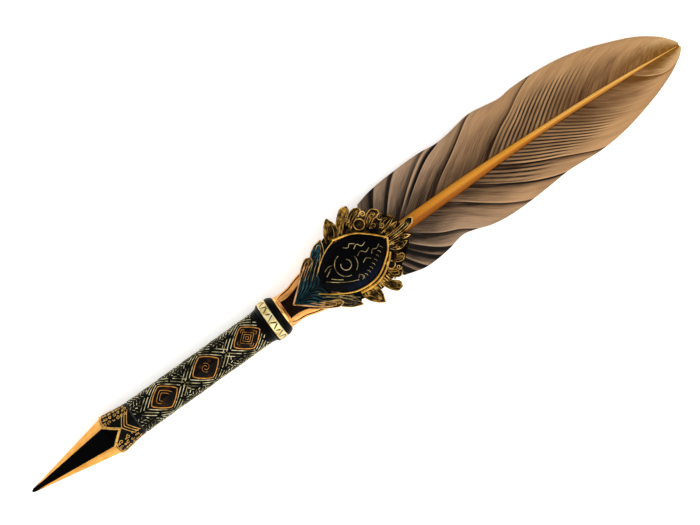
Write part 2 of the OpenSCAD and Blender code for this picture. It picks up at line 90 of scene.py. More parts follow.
def grain(material, scale, detail=3, stretch=(1, 1, 1)):
    """Noise on the piece's own coordinates, in features for each metre."""
    place = add_node(material, "TexCoord").outputs["Object"]
    spread = add_node(material, "Mapping", {0: place, "Scale": stretch}).outputs[0]
    return add_node(material, "TexNoise", {"Vector": spread, "Scale": scale, "Detail": detail}).outputs["Fac"]


def ramp(material, factor, *stops):
    """Colours or greys blended along a factor, from (place, colour) stops."""
    blend = add_node(material, "ValToRGB", {"Fac": factor})
    elements = blend.color_ramp.elements
    while len(elements) < len(stops):
        elements.new(1.0)
    for element, (place, colour) in zip(elements, stops):
        element.position = place
        element.color = (*colour, 1) if isinstance(colour, (tuple, list)) else (colour, colour, colour, 1)
    return blend.outputs["Color"]


def tint(material, factor, *stops):
    """Colours the surface along a factor."""
    drive(material, ramp(material, factor, *stops))


def bump(material, height, depth, strength):
    """Small relief from a height, depth millimetres deep."""
    relief = add_node(material, "Bump", {"Height": height, "Distance": depth * mm, "Strength": strength})
    drive(material, relief.outputs["Normal"], "Normal")


def show(name, data, material):
    """An object at the origin, for a mesh or a curve that holds its own place."""
    piece = bpy.data.objects.new(name, data)
    data.materials.append(material)
    bpy.context.collection.objects.link(piece)
    return piece


table_paint = surface("table_paint", (0.93, 0.93, 0.93), 0.75)
tint(table_paint, grain(table_paint, 30), (0.3, 0.92), (0.7, 0.94))
shader_of(table_paint).inputs["Emission Color"].default_value = (1.0, 1.0, 0.99, 1)
shader_of(table_paint).inputs["Emission Strength"].default_value = 0.40

bm = bmesh.new()
bmesh.ops.create_grid(bm, x_segments=1, y_segments=1, size=table_size / 2)
mesh = bpy.data.meshes.new("table_top")
bm.to_mesh(mesh)
bm.free()
show("table_top", mesh, table_paint)

scene = bpy.context.scene
scene.world = scene.world or bpy.data.worlds.new("studio")
scene.world.use_nodes = True
background = scene.world.node_tree.nodes["Background"]
background.inputs["Color"].default_value = (1.0, 0.98, 0.95, 1)
background.inputs["Strength"].default_value = 0.45

# Each soft lamp, turned to the middle of the pen: name, place, size, power, colour
for name, place, size, power, colour in (
        ("lamp_key", (-0.15, -0.50, 0.60), 1.1, 5.8, (1.0, 0.98, 0.95)),
        ("lamp_fill", (-0.25, 0.55, 0.50), 1.0, 2.2, (1, 1, 1)),
        ("lamp_end", (0.65, -0.10, 0.40), 0.7, 1.8, (1, 1, 1))):
    data = bpy.data.lights.new(name, "AREA")
    data.size, data.energy, data.color = size, power, colour
    lamp = bpy.data.objects.new(name, data)
    lamp.location = place
    lamp.rotation_euler = (-Vector(place)).to_track_quat("-Z", "Y").to_euler()
    bpy.context.collection.objects.link(lamp)

camera_data = bpy.data.cameras.new("camera")
camera_data.lens = 100
camera_data.sensor_width = 36
camera = bpy.data.objects.new("camera", camera_data)
camera.location = pen_offset + Vector((0, 0, axis_z + lens_height))
camera.rotation_euler = (0, 0, -pen_slope)
bpy.context.collection.objects.link(camera)
scene.camera = camera
scene.view_settings.view_transform = "Standard"
scene.view_settings.gamma = 0.84

# ---- Nib ----------------------------------------------------------------
# Gold-plated spring bronze, folded to a trough whose two bevels rise to the feed.
# The back is slit from the tip to a round vent so that the two tines can flex, and a
# hard round point is welded to the tip.


def span(node):
    """The stations where a frame node starts and ends."""
    low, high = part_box(node)
    return low.x - tip_x, high.x - tip_x


def half_width(node):
    low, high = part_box(node)
    return (high.y - low.y) / 2


nib_end = span("nib")[1]
nib_reach, collar_end = span("section_collar")
nib_half = half_width("nib")
nib_tip_half = 0.5 * mm
nib_wall = 0.5 * mm
back_share = 0.82
feed_tail_r = half_width("feed")
seat_gap = 0.04 * mm
face_half = 3.5 * mm
face_tip_half = 0.4 * mm
face_rise = 3.19 * mm
face_tip_rise = 0.35 * mm
slit_end = nib_reach * 0.6
slit_half = 0.03 * mm
point_r = 0.46 * mm
vent_r = 0.8 * mm


def mix(a, b, t):
    return a + (b - a) * t


def clamp(value, low=0.0, high=1.0):
    return max(low, min(high, value))


def smooth(t):
    """0 to 1 with level ends."""
    t = clamp(t)
    return t * t * (3 - 2 * t)


def at(station, across=0.0, up=0.0):
    """A point from its station, its distance to the left and its height over the pen's axis."""
    return Vector((tip_x + station, across, axis_z + up))


def ring_of(bm, points):
    """A closed loop of vertices and edges through the points."""
    verts = [bm.verts.new(p) for p in points]
    return verts, [bm.edges.new((a, b)) for a, b in zip(verts, verts[1:] + verts[:1])]


def skin(bm, loops, caps=True):
    """Bridges closed loops in their order, and closes both ends."""
    for (_, first), (_, second) in zip(loops, loops[1:]):
        bmesh.ops.bridge_loops(bm, edges=first + second)
    if caps:
        for _, edges in (loops[0], loops[-1]):
            bmesh.ops.edgeloop_fill(bm, edges=edges)
    bmesh.ops.recalc_face_normals(bm, faces=bm.faces)


def loft(bm, rings):
    """Skins closed rings of points, and gives their vertices back."""
    loops = [ring_of(bm, ring) for ring in rings]
    skin(bm, loops)
    return [vert for verts, _ in loops for vert in verts]


def to_piece(name, bm, material, crease=35):
    """Turns a finished bmesh into an object, smooth but for edges sharper than crease."""
    for face in bm.faces:
        face.smooth = len(face.verts) < 9
    for edge in bm.edges:
        if len(edge.link_faces) == 2 and edge.calc_face_angle() > math.radians(crease):
            edge.smooth = False
    data = bpy.data.meshes.new(name)
    bm.to_mesh(data)
    bm.free()
    return show(name, data, material)


def fit(piece, body, slot, *nodes):
    """Rides the piece on its body and hides the frame nodes it stands for; the slot is not used."""
    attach(piece, body)
    if nodes:
        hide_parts(*nodes)


def plated_gold(name, colour, dark, roughness=0.22, tarnish=260, specular=0.5):
    """Polished plate with cloudy tarnish, fine scratches and a slight orange-peel."""
    material = surface(name, colour, roughness, 1.0, specular)
    tint(material, grain(material, tarnish, 4), (0.32, dark), (0.62, colour))
    scratch = grain(material, 900, 2, (0.15, 1, 1))
    drive(material, ramp(material, scratch, (0.3, roughness * 0.8), (0.75, roughness * 1.7)), "Roughness")
    bump(material, grain(material, 1500, 2), 0.02, 0.35)
    return material


def coordinate(material, axis):
    """How far a point lies along one of the piece's own axes."""
    place = add_node(material, "TexCoord").outputs["Object"]
    return add_node(material, "SeparateXYZ", {0: place}).outputs[axis]


def faded(material, value, start, end, low=0.0, high=1.0):
    """A value that runs from low to high between two places."""
    return add_node(material, "MapRange", {
        "Value": value, "From Min": start, "From Max": end, "To Min": low, "To Max": high}).outputs[0]


def blended(material, factor, first, second):
    """The first colour where the factor is 0 and the second where it is 1."""
    return add_node(material, "Mix", {"Factor": factor, 6: first, 7: second}, data_type="RGBA").outputs[2]


def nib_section(station, inset):
    """The trough's outer or inner line: face corner, rounded back, face corner."""
    t = station / nib_reach
    half = max(0.1 * mm, mix(nib_tip_half, nib_half, t) - inset * 1.5)
    depth = max(0.08 * mm, mix(nib_tip_half, nib_half, t) * back_share - inset)
    if inset:
        half, depth = min(half, feed_tail_r + seat_gap), min(depth, feed_tail_r + seat_gap)
    corner = mix(face_tip_half, face_half, t) - inset * 0.16
    rise = mix(face_tip_rise, face_rise, t)
    angles = [math.pi * i / 20 for i in range(21)]
    back = [at(station, half * math.cos(a), -depth * math.sin(a)) for a in angles]
    bulge = [at(station, mix(corner, half, k) + 0.06 * (half - corner) * math.sin(math.pi * k),
                mix(rise, 0, k)) for k in (0.0, 0.2, 0.4, 0.6, 0.8)]
    return bulge + back + [at(station, -p.y, p.z - axis_z) for p in reversed(bulge)]


gold_plate = plated_gold("gold_plate", (0.80, 0.43, 0.12), (0.60, 0.28, 0.06), specular=0.03)
inked = faded(gold_plate, coordinate(gold_plate, "X"), tip_x + 1.5 * mm, tip_x + 4.5 * mm)
plain_gold = shader_of(gold_plate).inputs["Base Color"].links[0].from_socket
drive(gold_plate, blended(gold_plate, inked, (0.002, 0.002, 0.002, 1), plain_gold))
drive(gold_plate, inked, "Metallic")

rings = []
for share in (0.02, 0.04, 0.1, 0.22, 0.36, 0.5, 0.64, 0.78, 0.9, 1.0):
    station = nib_reach * share
    rings.append(nib_section(station, 0) + nib_section(station, nib_wall)[::-1])
half_circle = [math.pi * i / 30 for i in range(31)]
for station in (nib_reach + 0.02 * mm, nib_end):
    outer, inner = ([at(station, math.cos(a) * radius, -math.sin(a) * radius) for a in half_circle]
                    for radius in (feed_tail_r + nib_wall, feed_tail_r + seat_gap))
    rings.append(outer + inner[::-1])
bm = bmesh.new()
loft(bm, rings)
nib_piece = to_piece("nib_gold", bm, gold_plate)

bm = bmesh.new()
bmesh.ops.create_cube(bm, size=1)
bmesh.ops.scale(bm, vec=(slit_end + 2 * mm, 2 * slit_half, 2 * nib_half), verts=bm.verts)
bmesh.ops.translate(bm, vec=at((slit_end - 2 * mm) / 2, 0, -nib_half * 0.6), verts=bm.verts)
vent = bmesh.ops.create_cone(bm, cap_ends=True, segments=32, radius1=vent_r, radius2=vent_r,
                             depth=2 * nib_half)
bmesh.ops.translate(bm, vec=at(slit_end, 0, -nib_half), verts=vent["verts"])


def cut_away(piece, tool):
    """Cuts the tool's shape out of the piece for good, and removes the tool."""
    cut = piece.modifiers.new("cut", "BOOLEAN")
    cut.object = tool
    cut.solver = "EXACT"
    cut.use_self = True
    bpy.context.view_layer.update()
    graph = bpy.context.evaluated_depsgraph_get()
    piece.data = bpy.data.meshes.new_from_object(piece.evaluated_get(graph))
    piece.modifiers.clear()
    bpy.data.objects.remove(tool)


cut_away(nib_piece, to_piece("nib_cutter", bm, gold_plate))
fit(nib_piece, "nib_unit", "gold_plate", "nib")
bm = bmesh.new()
bmesh.ops.create_uvsphere(bm, u_segments=24, v_segments=16, radius=point_r)
bmesh.ops.scale(bm, vec=(1.6, 1, 0.9), verts=bm.verts)
bmesh.ops.translate(bm, vec=at(1.6 * point_r), verts=bm.verts)
fit(to_piece("nib_point", bm, gold_plate), "nib_unit", "gold_plate")

# ---- Feed ---------------------------------------------------------------
# Moulded black ebonite that fills the trough and carries ink to the tip. Its flat
# face is satin from the mould and its tail is round.
black_ebonite = surface("black_ebonite", (0.001, 0.001, 0.001), 0.32, specular=0.03)
satin = grain(black_ebonite, 700, 3)
drive(black_ebonite, ramp(black_ebonite, satin, (0.3, 0.26), (0.7, 0.42)), "Roughness")
bump(black_ebonite, grain(black_ebonite, 1800, 2, (0.1, 1, 1)), 0.02, 0.3)


def refinish(material, *nodes):
    """Gives frame nodes that keep their own shape their real finish."""
    for node in nodes:
        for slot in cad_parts[node].material_slots:
            slot.material = material


refinish(black_ebonite, "feed")

# ---- Collar -------------------------------------------------------------
# Cast brass blackened all over, with two rounded lobes each side of a V that shows
# the feed. Gold wire is soldered round the front edge and curled over the lobes.
collar_r = half_width("section_collar")
barrel_r = 5.7 * mm
collar_bore_r = 5.14 * mm
notch_depth = 4.4 * mm
lobe_round = 1.3 * mm
wire_sink = 0.02 * mm


def maths(material, operation, *values, **settings):
    return add_node(material, "Math", dict(enumerate(values)), operation=operation, **settings).outputs[0]


def blackened(name, metal, hollow, roughness=0.4):
    """Metal whose hollows stay black while its high edges are rubbed bright."""
    material = surface(name, metal, roughness, 1.0)
    recess = add_node(material, "AmbientOcclusion", {"Distance": 0.5 * mm}, samples=8).outputs["AO"]
    worn = maths(material, "MULTIPLY", recess, grain(material, 500, 4))
    tint(material, worn, (0.22, hollow), (0.40, metal), (0.56, [min(1, c * 1.35) for c in metal]))
    drive(material, ramp(material, worn, (0.2, 0.75), (0.5, roughness * 0.75)), "Roughness")
    bump(material, grain(material, 1400, 3), 0.03, 0.5)
    return material


def lacquer(name, colour, roughness=0.16):
    """Gloss black lacquer with faint ripples and dust-fine scratches."""
    material = surface(name, colour, roughness, specular=0.07)
    tint(material, grain(material, 350, 3), (0.35, colour), (0.8, [c * 1.5 + 0.002 for c in colour]))
    scratch = grain(material, 800, 3)
    drive(material, ramp(material, scratch, (0.3, roughness), (0.8, roughness * 2.2)), "Roughness")
    bump(material, grain(material, 260, 2), 0.05, 0.3)
    return material


def wires(name, strokes, radius, material, sides=1):
    """Round wires through lists of (point, share of the radius), the radius in millimetres."""
    curve = bpy.data.curves.new(name, "CURVE")
    curve.dimensions = "3D"
    curve.bevel_depth = radius * mm
    curve.bevel_resolution = sides
    curve.use_fill_caps = True
    for stroke in strokes:
        spline = curve.splines.new("POLY")
        spline.points.add(len(stroke) - 1)
        for knot, (point, share) in zip(spline.points, stroke):
            knot.co = (*point, 1)
            knot.radius = share
    return show(name, curve, material)


def collar_radius(station):
    """The collar swells behind its front edge and runs down to the barrel."""
    t = (station - nib_reach) / (collar_end - nib_reach)
    swell = math.sin(math.pi * clamp(t * 1.25) ** 0.55) * 0.16 * mm
    return mix(collar_r - 0.2 * mm, barrel_r + 0.12 * mm, smooth(t * 1.1)) + swell - 0.03 * mm


def collar_front(angle):
    """Station of the front edge: a V above and below, and a rounded lobe each side."""
    across = abs(math.sin(angle)) * collar_r
    notch = notch_depth * clamp(1 - across / face_half)
    corner = lobe_round * smooth((across - collar_r * 0.80) / (collar_r * 0.20)) * 0.35
    return nib_reach + notch + corner


def round_point(station, angle, radius):
    """A point on a round part, at an angle from the top towards the left."""
    return at(station, radius * math.sin(angle), radius * math.cos(angle))


def curl(station, angle, radius_of, size, turns, start, hand=1):
    """A spiral of wire laid on a round part, opening from its eye."""
    steps = max(8, int(14 * turns))
    stroke = []
    for i in range(steps + 1):
        t = i / steps
        grow = size * (0.15 + 0.85 * t)
        a = start + hand * 2 * math.pi * turns * t
        s = station + grow * math.cos(a)
        turned = angle + grow * math.sin(a) / radius_of(station)
        stroke.append((round_point(s, turned, radius_of(s) + wire_sink), 0.75 + 0.4 * t))
    return stroke


antique_gold = blackened("antique_gold", (0.62, 0.40, 0.12), (0.025, 0.017, 0.008))
black_lacquer = lacquer("black_lacquer", (0.002, 0.0025, 0.002))
gold_wire = plated_gold("gold_wire", (0.78, 0.50, 0.17), (0.45, 0.26, 0.07), 0.3, 900)

columns, rows = 144, 12
angles = [2 * math.pi * j / columns for j in range(columns)]
bm = bmesh.new()
rings = []
for k, bore in [(k, False) for k in range(rows + 1)] + [(rows, True), (0, True), (0, False)]:
    stations = [mix(collar_front(angle), collar_end, k / rows) for angle in angles]
    rings.append([round_point(s, angle, collar_bore_r if bore else collar_radius(s))
                  for s, angle in zip(stations, angles)])
skin(bm, [ring_of(bm, ring) for ring in rings], caps=False)
bmesh.ops.remove_doubles(bm, verts=bm.verts, dist=0.001 * mm)
fit(to_piece("collar_shell", bm, black_lacquer), "section", "antique_gold", "section_collar")

edge, inner_edge = [], []
for angle in angles + [2 * math.pi]:
    s = collar_front(angle)
    edge.append((round_point(s + 0.16 * mm, angle, collar_radius(s) - 0.032 * mm), 1))
    inner_edge.append((round_point(s + 0.75 * mm, angle, collar_radius(s + 0.75 * mm)), 0.55))
fit(wires("collar_rims", [edge, inner_edge], 0.34, gold_wire, 2), "section", "antique_gold")

draw = random.Random(11)
strokes = []
for face in (0, math.pi):
    for side in (-1, 1):
        for degrees in (84, 66, 49, 33):
            turned = face + side * math.radians(degrees)
            s = collar_front(turned) + 1.5 * mm
            while s < collar_end - 0.6 * mm:
                size = draw.uniform(0.40, 0.80) * mm
                strokes.append(curl(s, turned, collar_radius, size, draw.uniform(0.6, 1.4),
                                    draw.uniform(0, 6), draw.choice((-1, 1))))
                s += 1.9 * size + 0.2 * mm
        for k in range(3):
            start = nib_reach + notch_depth + (0.9 + 0.95 * k) * mm
            leg = []
            for t in [i / 6 for i in range(7)]:
                s = start + t * 2.6 * mm
                turned = face + side * t * math.radians(40)
                leg.append((round_point(s, turned, collar_radius(s) + wire_sink), 1.2 - 0.3 * t))
            strokes.append(leg)
fit(wires("collar_filigree", strokes, 0.15, gold_wire), "section", "antique_gold")

# ---- Screw spigot, grip and seal ----------------------------------------
# Turned brass with a fine thread, a slotted spring-steel sleeve that grips the nib,
# and a rubber ring that seals the joint with the barrel.
turned_brass = plated_gold("turned_brass", (0.70, 0.50, 0.20), (0.50, 0.33, 0.10), 0.3, 400)
spring_steel = plated_gold("spring_steel", (0.60, 0.60, 0.62), (0.42, 0.42, 0.44), 0.32, 400)
seal_rubber = surface("seal_rubber", (0.02, 0.02, 0.02), 0.7)
tint(seal_rubber, grain(seal_rubber, 900, 4), (0.3, 0.015), (0.8, 0.05))
bump(seal_rubber, grain(seal_rubber, 2500, 2), 0.02, 0.5)
refinish(spring_steel, "nib_grip")
refinish(seal_rubber, "section_seal")


def turn_round(bm, profile, turns=1, steps=96, pitch=0.0):
    """Spins a closed profile of (station, radius) points, forwards where there is a pitch."""
    verts, edges = ring_of(bm, [at(s, 0, r) for s, r in profile])
    made = bmesh.ops.spin(bm, geom=verts + edges, axis=(1, 0, 0), cent=(0, 0, axis_z), steps=steps * turns,
                          dvec=(pitch / steps, 0, 0), angle=2 * math.pi * turns, use_merge=not pitch)
    return edges, [e for e in made["geom_last"] if isinstance(e, bmesh.types.BMEdge)]


def spun(profile, steps=96):
    """A turned piece from a closed profile."""
    bm = bmesh.new()
    turn_round(bm, profile, steps=steps)
    bmesh.ops.remove_doubles(bm, verts=bm.verts, dist=0.001 * mm)
    bmesh.ops.recalc_face_normals(bm, faces=bm.faces)
    return bm


core_start, spigot_end = span("section_core")
core_r = 5.1 * mm
thread_r = 3.45 * mm
root_r = thread_r - 0.38 * mm
thread_pitch = 0.75 * mm
air_hole_r = 1.0 * mm
bm = spun([(core_start, air_hole_r), (core_start, core_r), (collar_end, core_r), (collar_end, root_r),
           (spigot_end - 0.3 * mm, root_r), (spigot_end, root_r - 0.3 * mm), (spigot_end, air_hole_r)], 64)
start = collar_end + 0.9 * mm
thread_profile = [(start + share * thread_pitch, r) for share, r in (
    (-0.38, root_r - 0.05 * mm), (-0.08, thread_r), (0.08, thread_r), (0.38, root_r - 0.05 * mm))]
turns = int((spigot_end - start - 0.6 * mm) / thread_pitch)
for edges in turn_round(bm, thread_profile, turns, 40, thread_pitch):
    bmesh.ops.edgeloop_fill(bm, edges=edges)
bmesh.ops.recalc_face_normals(bm, faces=bm.faces)
fit(to_piece("screw_spigot", bm, turned_brass), "section", "brass", "section_core")

# ---- Barrel -------------------------------------------------------------
# A brass tube in a sleeve of black lacquer. The sleeve flares to the ring through
# three turned grooves, and its bush and plug are plain brass inside.
refinish(turned_brass, "barrel_bush", "barrel_tube", "barrel_plug")
barrel_start = span("barrel_sleeve")[0]
ring_start, ring_end = span("engraved_ring")
flare_start = ring_start - 2.9 * mm
flare_r = 6.85 * mm
sleeve_bore_r = barrel_r - 0.7 * mm
profile = [(barrel_start, sleeve_bore_r), (barrel_start, barrel_r - 0.05 * mm),
           (barrel_start + 0.1 * mm, barrel_r + 0.1 * mm), (barrel_start + 4 * mm, barrel_r),
           (flare_start - 0.6 * mm, barrel_r)]
for k in range(3):
    groove = flare_start + (k * 0.75 - 0.3) * mm
    lip = barrel_r + 0.05 * mm + 0.14 * mm * k
    profile += [(groove, lip), (groove + 0.15 * mm, lip - 0.14 * mm), (groove + 0.35 * mm, lip + 0.02 * mm)]
for t in [k / 6 for k in range(1, 7)]:
    profile.append((mix(flare_start + 1.9 * mm, ring_start, t),
                    mix(barrel_r + 0.42 * mm, flare_r, math.sin(t * math.pi / 2))))
profile.append((ring_start, sleeve_bore_r))
fit(to_piece("lacquered_sleeve", spun(profile), black_lacquer), "barrel", "black_lacquer", "barrel_sleeve")

# ---- Wirework on the barrel ----------------------------------------------
# Fine pale-gold wire is let into the lacquer: nested lozenges round each medallion,
# and short strokes in herringbone between them, the same on the face and the back.
pale_wire = surface("pale_wire", (0.42, 0.38, 0.22), 0.36, 0.85)
tint(pale_wire, grain(pale_wire, 420, 3),
     (0.36, (0.06, 0.05, 0.025)), (0.46, (0.36, 0.32, 0.16)), (0.60, (0.80, 0.74, 0.50)))
amber_wire = plated_gold("amber_wire", (0.72, 0.38, 0.10), (0.40, 0.17, 0.04), 0.32, 700)

medallion_half = 4.8 * mm
medallion_side = 4.0 * mm
medallion_margin = medallion_half + 0.7 * mm
first, last = span("lozenge_rims")
medallion_stations = [mix(first + medallion_margin, last - medallion_margin, i / 2) for i in range(3)]
pattern_start = barrel_start + 0.4 * mm
pattern_end = flare_start + 0.1 * mm
half_turn = math.pi * barrel_r
wire_r = 0.17
row_pitch = 1.12 * mm
stroke_pitch = 1.15 * mm


def on_barrel(station, arc, lift=0.0):
    """A point on the barrel, at an arc length from the middle of its face."""
    swell = 0.1 * mm * clamp(1 - (station - barrel_start) / (4 * mm))
    return round_point(station, arc / barrel_r, barrel_r + swell + lift)


def lozenge_share(station, arc):
    """How far a point lies out from its nearest medallion: 1 on the medallion's edge."""
    arc = abs(arc) if abs(arc) < half_turn / 2 else half_turn - abs(arc)
    near = min(medallion_stations, key=lambda s: abs(s - station))
    return abs(station - near) / medallion_half + arc / medallion_side


def nested_lozenge(centre, face, share, gap):
    """The four sides of a lozenge drawn as separate strokes, gapped at the corners."""
    a, b = medallion_half * share, medallion_side * share
    pieces = max(1, int(math.hypot(a, b) / (4.5 * mm)))
    strokes = []
    for sx, sy, k in [(sx, sy, k) for sx in (-1, 1) for sy in (-1, 1) for k in range(pieces)]:
        stroke = []
        for t in [mix(k + gap, k + 1 - gap, step / 8) / pieces for step in range(9)]:
            s, arc = centre + sx * a * (1 - t), sy * b * t
            if pattern_start < s < pattern_end and abs(arc) < half_turn / 2:
                stroke.append((on_barrel(s, arc + face), 1))
        if len(stroke) > 1:
            strokes.append(stroke)
    return strokes


draw = random.Random(5)
sites = [(face, i, centre) for face in (0, half_turn) for i, centre in enumerate(medallion_stations)]
strokes = []
for face, _, centre in sites:
    for share, gap in ((1.36, 0.04), (1.68, 0.07), (2.0, 0.12)):
        strokes += nested_lozenge(centre, face, share, gap)
fit(wires("barrel_lozenge_wires", strokes, wire_r, pale_wire), "barrel", "pale_gold")

strokes = []
row_count = int(2 * half_turn / row_pitch)
for row in range(row_count):
    arc = -half_turn + 2 * half_turn * (row + 0.5) / row_count
    station = pattern_start + (0.45 * mm if row % 2 else 0.0)
    while station < pattern_end:
        lean = 1 if (row // 2 + int(station / (5 * mm))) % 2 else -1
        if lozenge_share(station, arc) > 2.2:
            length = draw.uniform(0.7, 1.25) * mm
            angle = lean * math.radians(draw.uniform(20, 70))
            ds, da = math.cos(angle) * length / 2, math.sin(angle) * length / 2
            strokes.append([(on_barrel(station + k * ds, arc + k * da + draw.uniform(-0.04, 0.04) * mm),
                             1 - 0.25 * abs(k)) for k in (-1, 0, 1)])
        station += stroke_pitch
fit(wires("barrel_herringbone", strokes, wire_r, pale_wire), "barrel", "pale_gold")

# ---- Medallions ----------------------------------------------------------
# Domed drops of dark brown enamel in amber-gold frames, one row on the face and one
# on the back. Each holds its own plain device in fine wire.
brown_enamel = surface("brown_enamel", (0.07, 0.022, 0.008), 0.22, specular=0.1)
tint(brown_enamel, grain(brown_enamel, 380, 4),
     (0.36, 0.001), (0.54, (0.008, 0.004, 0.002)), (0.72, (0.07, 0.025, 0.006)))
bump(brown_enamel, grain(brown_enamel, 700, 3), 0.05, 0.5)


def lozenge_line(centre, face, share, lift, count, turn):
    """Points round a lozenge with slightly bowed sides, an angle apart."""
    line = []
    for angle in [turn * j for j in range(count)]:
        c, s = math.cos(angle), math.sin(angle)
        reach = share / (abs(c) ** 1.15 + abs(s) ** 1.15) ** (1 / 1.15)
        line.append(on_barrel(centre + c * reach * medallion_half, face + s * reach * medallion_side,
                              lift * mm))
    return line


bm = bmesh.new()
frames, devices = [], []
for face, i, centre in sites:
    loft(bm, [lozenge_line(centre, face, share, lift, 48, math.pi / 24) for share, lift in (
        (1.0, -0.25), (1.0, 0.12), (0.92, 0.22), (0.75, 0.30), (0.5, 0.36), (0.25, 0.39), (0.03, 0.40))])
    frames.append([(p, 0.9) for p in lozenge_line(centre, face, 1.03, 0.06, 49, math.pi / 24)])
    if i == 1:
        for hand in (-1, 1):
            devices.append([(on_barrel(centre + hand * (0.4 + 1.3 * t) * mm * math.cos(4.6 * t),
                                       face + hand * (0.3 + 1.1 * t) * mm * math.sin(4.6 * t), 0.38 * mm),
                             1 - 0.4 * t) for t in [k / 12 for k in range(13)]])
        continue
    arcs = [(share, 0.36, 20, math.pi / 16) for share in (0.62, 0.38)]
    lozenges = [(share, 0.42 - 0.1 * share, 5, math.pi / 2) for share in (0.78, 0.56, 0.34, 0.14)]
    for row in (lozenges if i else arcs):
        devices.append([(p, 1) for p in lozenge_line(centre, face, *row)])
fit(to_piece("medallion_enamel", bm, brown_enamel), "barrel", "dark_enamel", "barrel_lozenges")
fit(wires("medallion_frames", frames, 0.26, amber_wire, 2), "barrel", "gold_plate", "lozenge_rims")
fit(wires("medallion_devices", devices, 0.13, amber_wire), "barrel", "gold_plate")

# ---- Engraved ring, bead and neck ring -----------------------------------
# The stand ring is pale gold with slanted cuts filled black. A black bead behind it
# and a thin gold ring close the barrel, all held by one steel stud.


def attribute(material, name):
    """A value painted on the piece's vertices."""
    return add_node(material, "Attribute", attribute_name=name).outputs["Fac"]


pale_gold = surface("pale_gold", (0.80, 0.68, 0.36), 0.34, 0.75)
cloud = ramp(pale_gold, grain(pale_gold, 420, 4),
             (0.30, (0.50, 0.38, 0.15)), (0.48, (0.76, 0.63, 0.32)), (0.72, (0.92, 0.84, 0.58)))
drive(pale_gold, blended(pale_gold, attribute(pale_gold, "cut"), cloud, (0.018, 0.014, 0.008, 1)))
bump(pale_gold, grain(pale_gold, 1100, 3), 0.03, 0.4)

ring_r = half_width("engraved_ring")
ring_width = ring_end - ring_start
stud_r = 2.05 * mm
cut_pitch = 2 * math.pi * ring_r / 28
cut_half = 0.24 * mm
cut_deep = 0.16 * mm
crown_rise = 0.10 * mm


def nearest_cut(s, arc):
    """Distance from a point on the ring to the nearest slanted cut."""
    best = 1.0
    cell = math.floor(arc / cut_pitch)
    for index in (cell - 1, cell, cell + 1):
        middle = (index + 0.5) * cut_pitch
        lean, reach = ((0.45, 0.95), (-0.3, 0.55), (0.45, 0.8), (-0.5, 0.9))[index % 4]
        a, b = Vector((-reach * mm, middle - lean * mm)), Vector((reach * mm, middle + lean * mm))
        p = Vector((s, arc))
        t = clamp((p - a).dot(b - a) / (b - a).length_squared)
        best = min(best, (p - a.lerp(b, t)).length / mix(0.7, 1.3, t))
    return best


columns, rows = 420, 26
bm = bmesh.new()
cut_layer = bm.verts.layers.float.new("cut")
loops = []
for t in [k / rows for k in range(rows + 1)]:
    crown = crown_rise * (1 - (2 * t - 1) ** 2) - crown_rise
    edge_round = 0.16 * mm * max(0, abs(2 * t - 1) - 0.88) / 0.12
    arcs = [2 * math.pi * ring_r * j / columns for j in range(columns)]
    cuts = [smooth(1 - (nearest_cut(ring_width * (t - 0.5), arc) - cut_half * 0.35) / (cut_half * 0.75))
            for arc in arcs]
    loops.append(ring_of(bm, [round_point(ring_start + t * ring_width, arc / ring_r,
                                          ring_r + crown - edge_round - cut_deep * cut)
                              for arc, cut in zip(arcs, cuts)]))
    for vert, cut in zip(loops[-1][0], cuts):
        vert[cut_layer] = cut
for station in (ring_end, ring_start):
    loops.append(ring_of(bm, [round_point(station, arc / ring_r, stud_r) for arc in arcs]))
skin(bm, loops + loops[:1], caps=False)
fit(to_piece("ring_engraved", bm, pale_gold, 50), "barrel", "pale_gold", "engraved_ring")

bead_end = span("black_bead")[1]
neck_start = span("neck_ring")[1]
neck_ring_r = half_width("neck_ring")
profile = [(ring_end, stud_r), (ring_end, 6.75 * mm)]
for t in [k / 8 for k in range(9)]:
    profile.append((mix(ring_end + 0.1 * mm, bead_end, t), mix(6.9 * mm, neck_ring_r + 0.3 * mm, t ** 2.2)))
profile.append((bead_end, stud_r))
fit(to_piece("bead_black", spun(profile), black_lacquer), "barrel", "black_lacquer", "black_bead")

bright_gold = plated_gold("bright_gold", (0.90, 0.58, 0.24), (0.72, 0.40, 0.13), 0.2, 300)
middle = (bead_end + neck_start) / 2
shoulder_r = neck_ring_r - 0.2 * mm
profile = [(bead_end, stud_r), (bead_end, shoulder_r)]
for a in [math.pi * k / 6 for k in range(7)]:
    profile.append((middle - math.cos(a) * (neck_start - bead_end) / 2, shoulder_r + 0.2 * mm * math.sin(a)))
profile.append((neck_start, stud_r))
fit(to_piece("ring_neck", spun(profile), bright_gold), "barrel", "gold_plate", "neck_ring")
refinish(spring_steel, "neck_stud")

# ---- Neck -----------------------------------------------------------------
# One gold-plated block, waisted behind the rings and spread to the flat tongue under
# the crest. Dark enamel panels lie in beds between its rails, on the face and the back.
neck_end = span("neck_frame")[1]
tongue_half = half_width("neck_frame") / mm
plate_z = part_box("crest_front_plate")[0].z - axis_z
crest_start = span("crest_front_plate")[0]
panel_start, panel_end = span("neck_panel_front")
panel_depth = 0.7 * mm
rail_width = 2.5 * mm
socket_r = half_width("quill_liner") + 0.02 * mm
socket_start = span("quill_liner")[0]
screw_head_r = 1.36 * mm
screw_stations = (span("crest_screws")[0] + screw_head_r, span("crest_screws")[1] - screw_head_r)
screw_across = half_width("crest_screws") - screw_head_r
screw_r = 0.8 * mm
stud_hole_end = span("neck_stud")[1] + 0.3 * mm


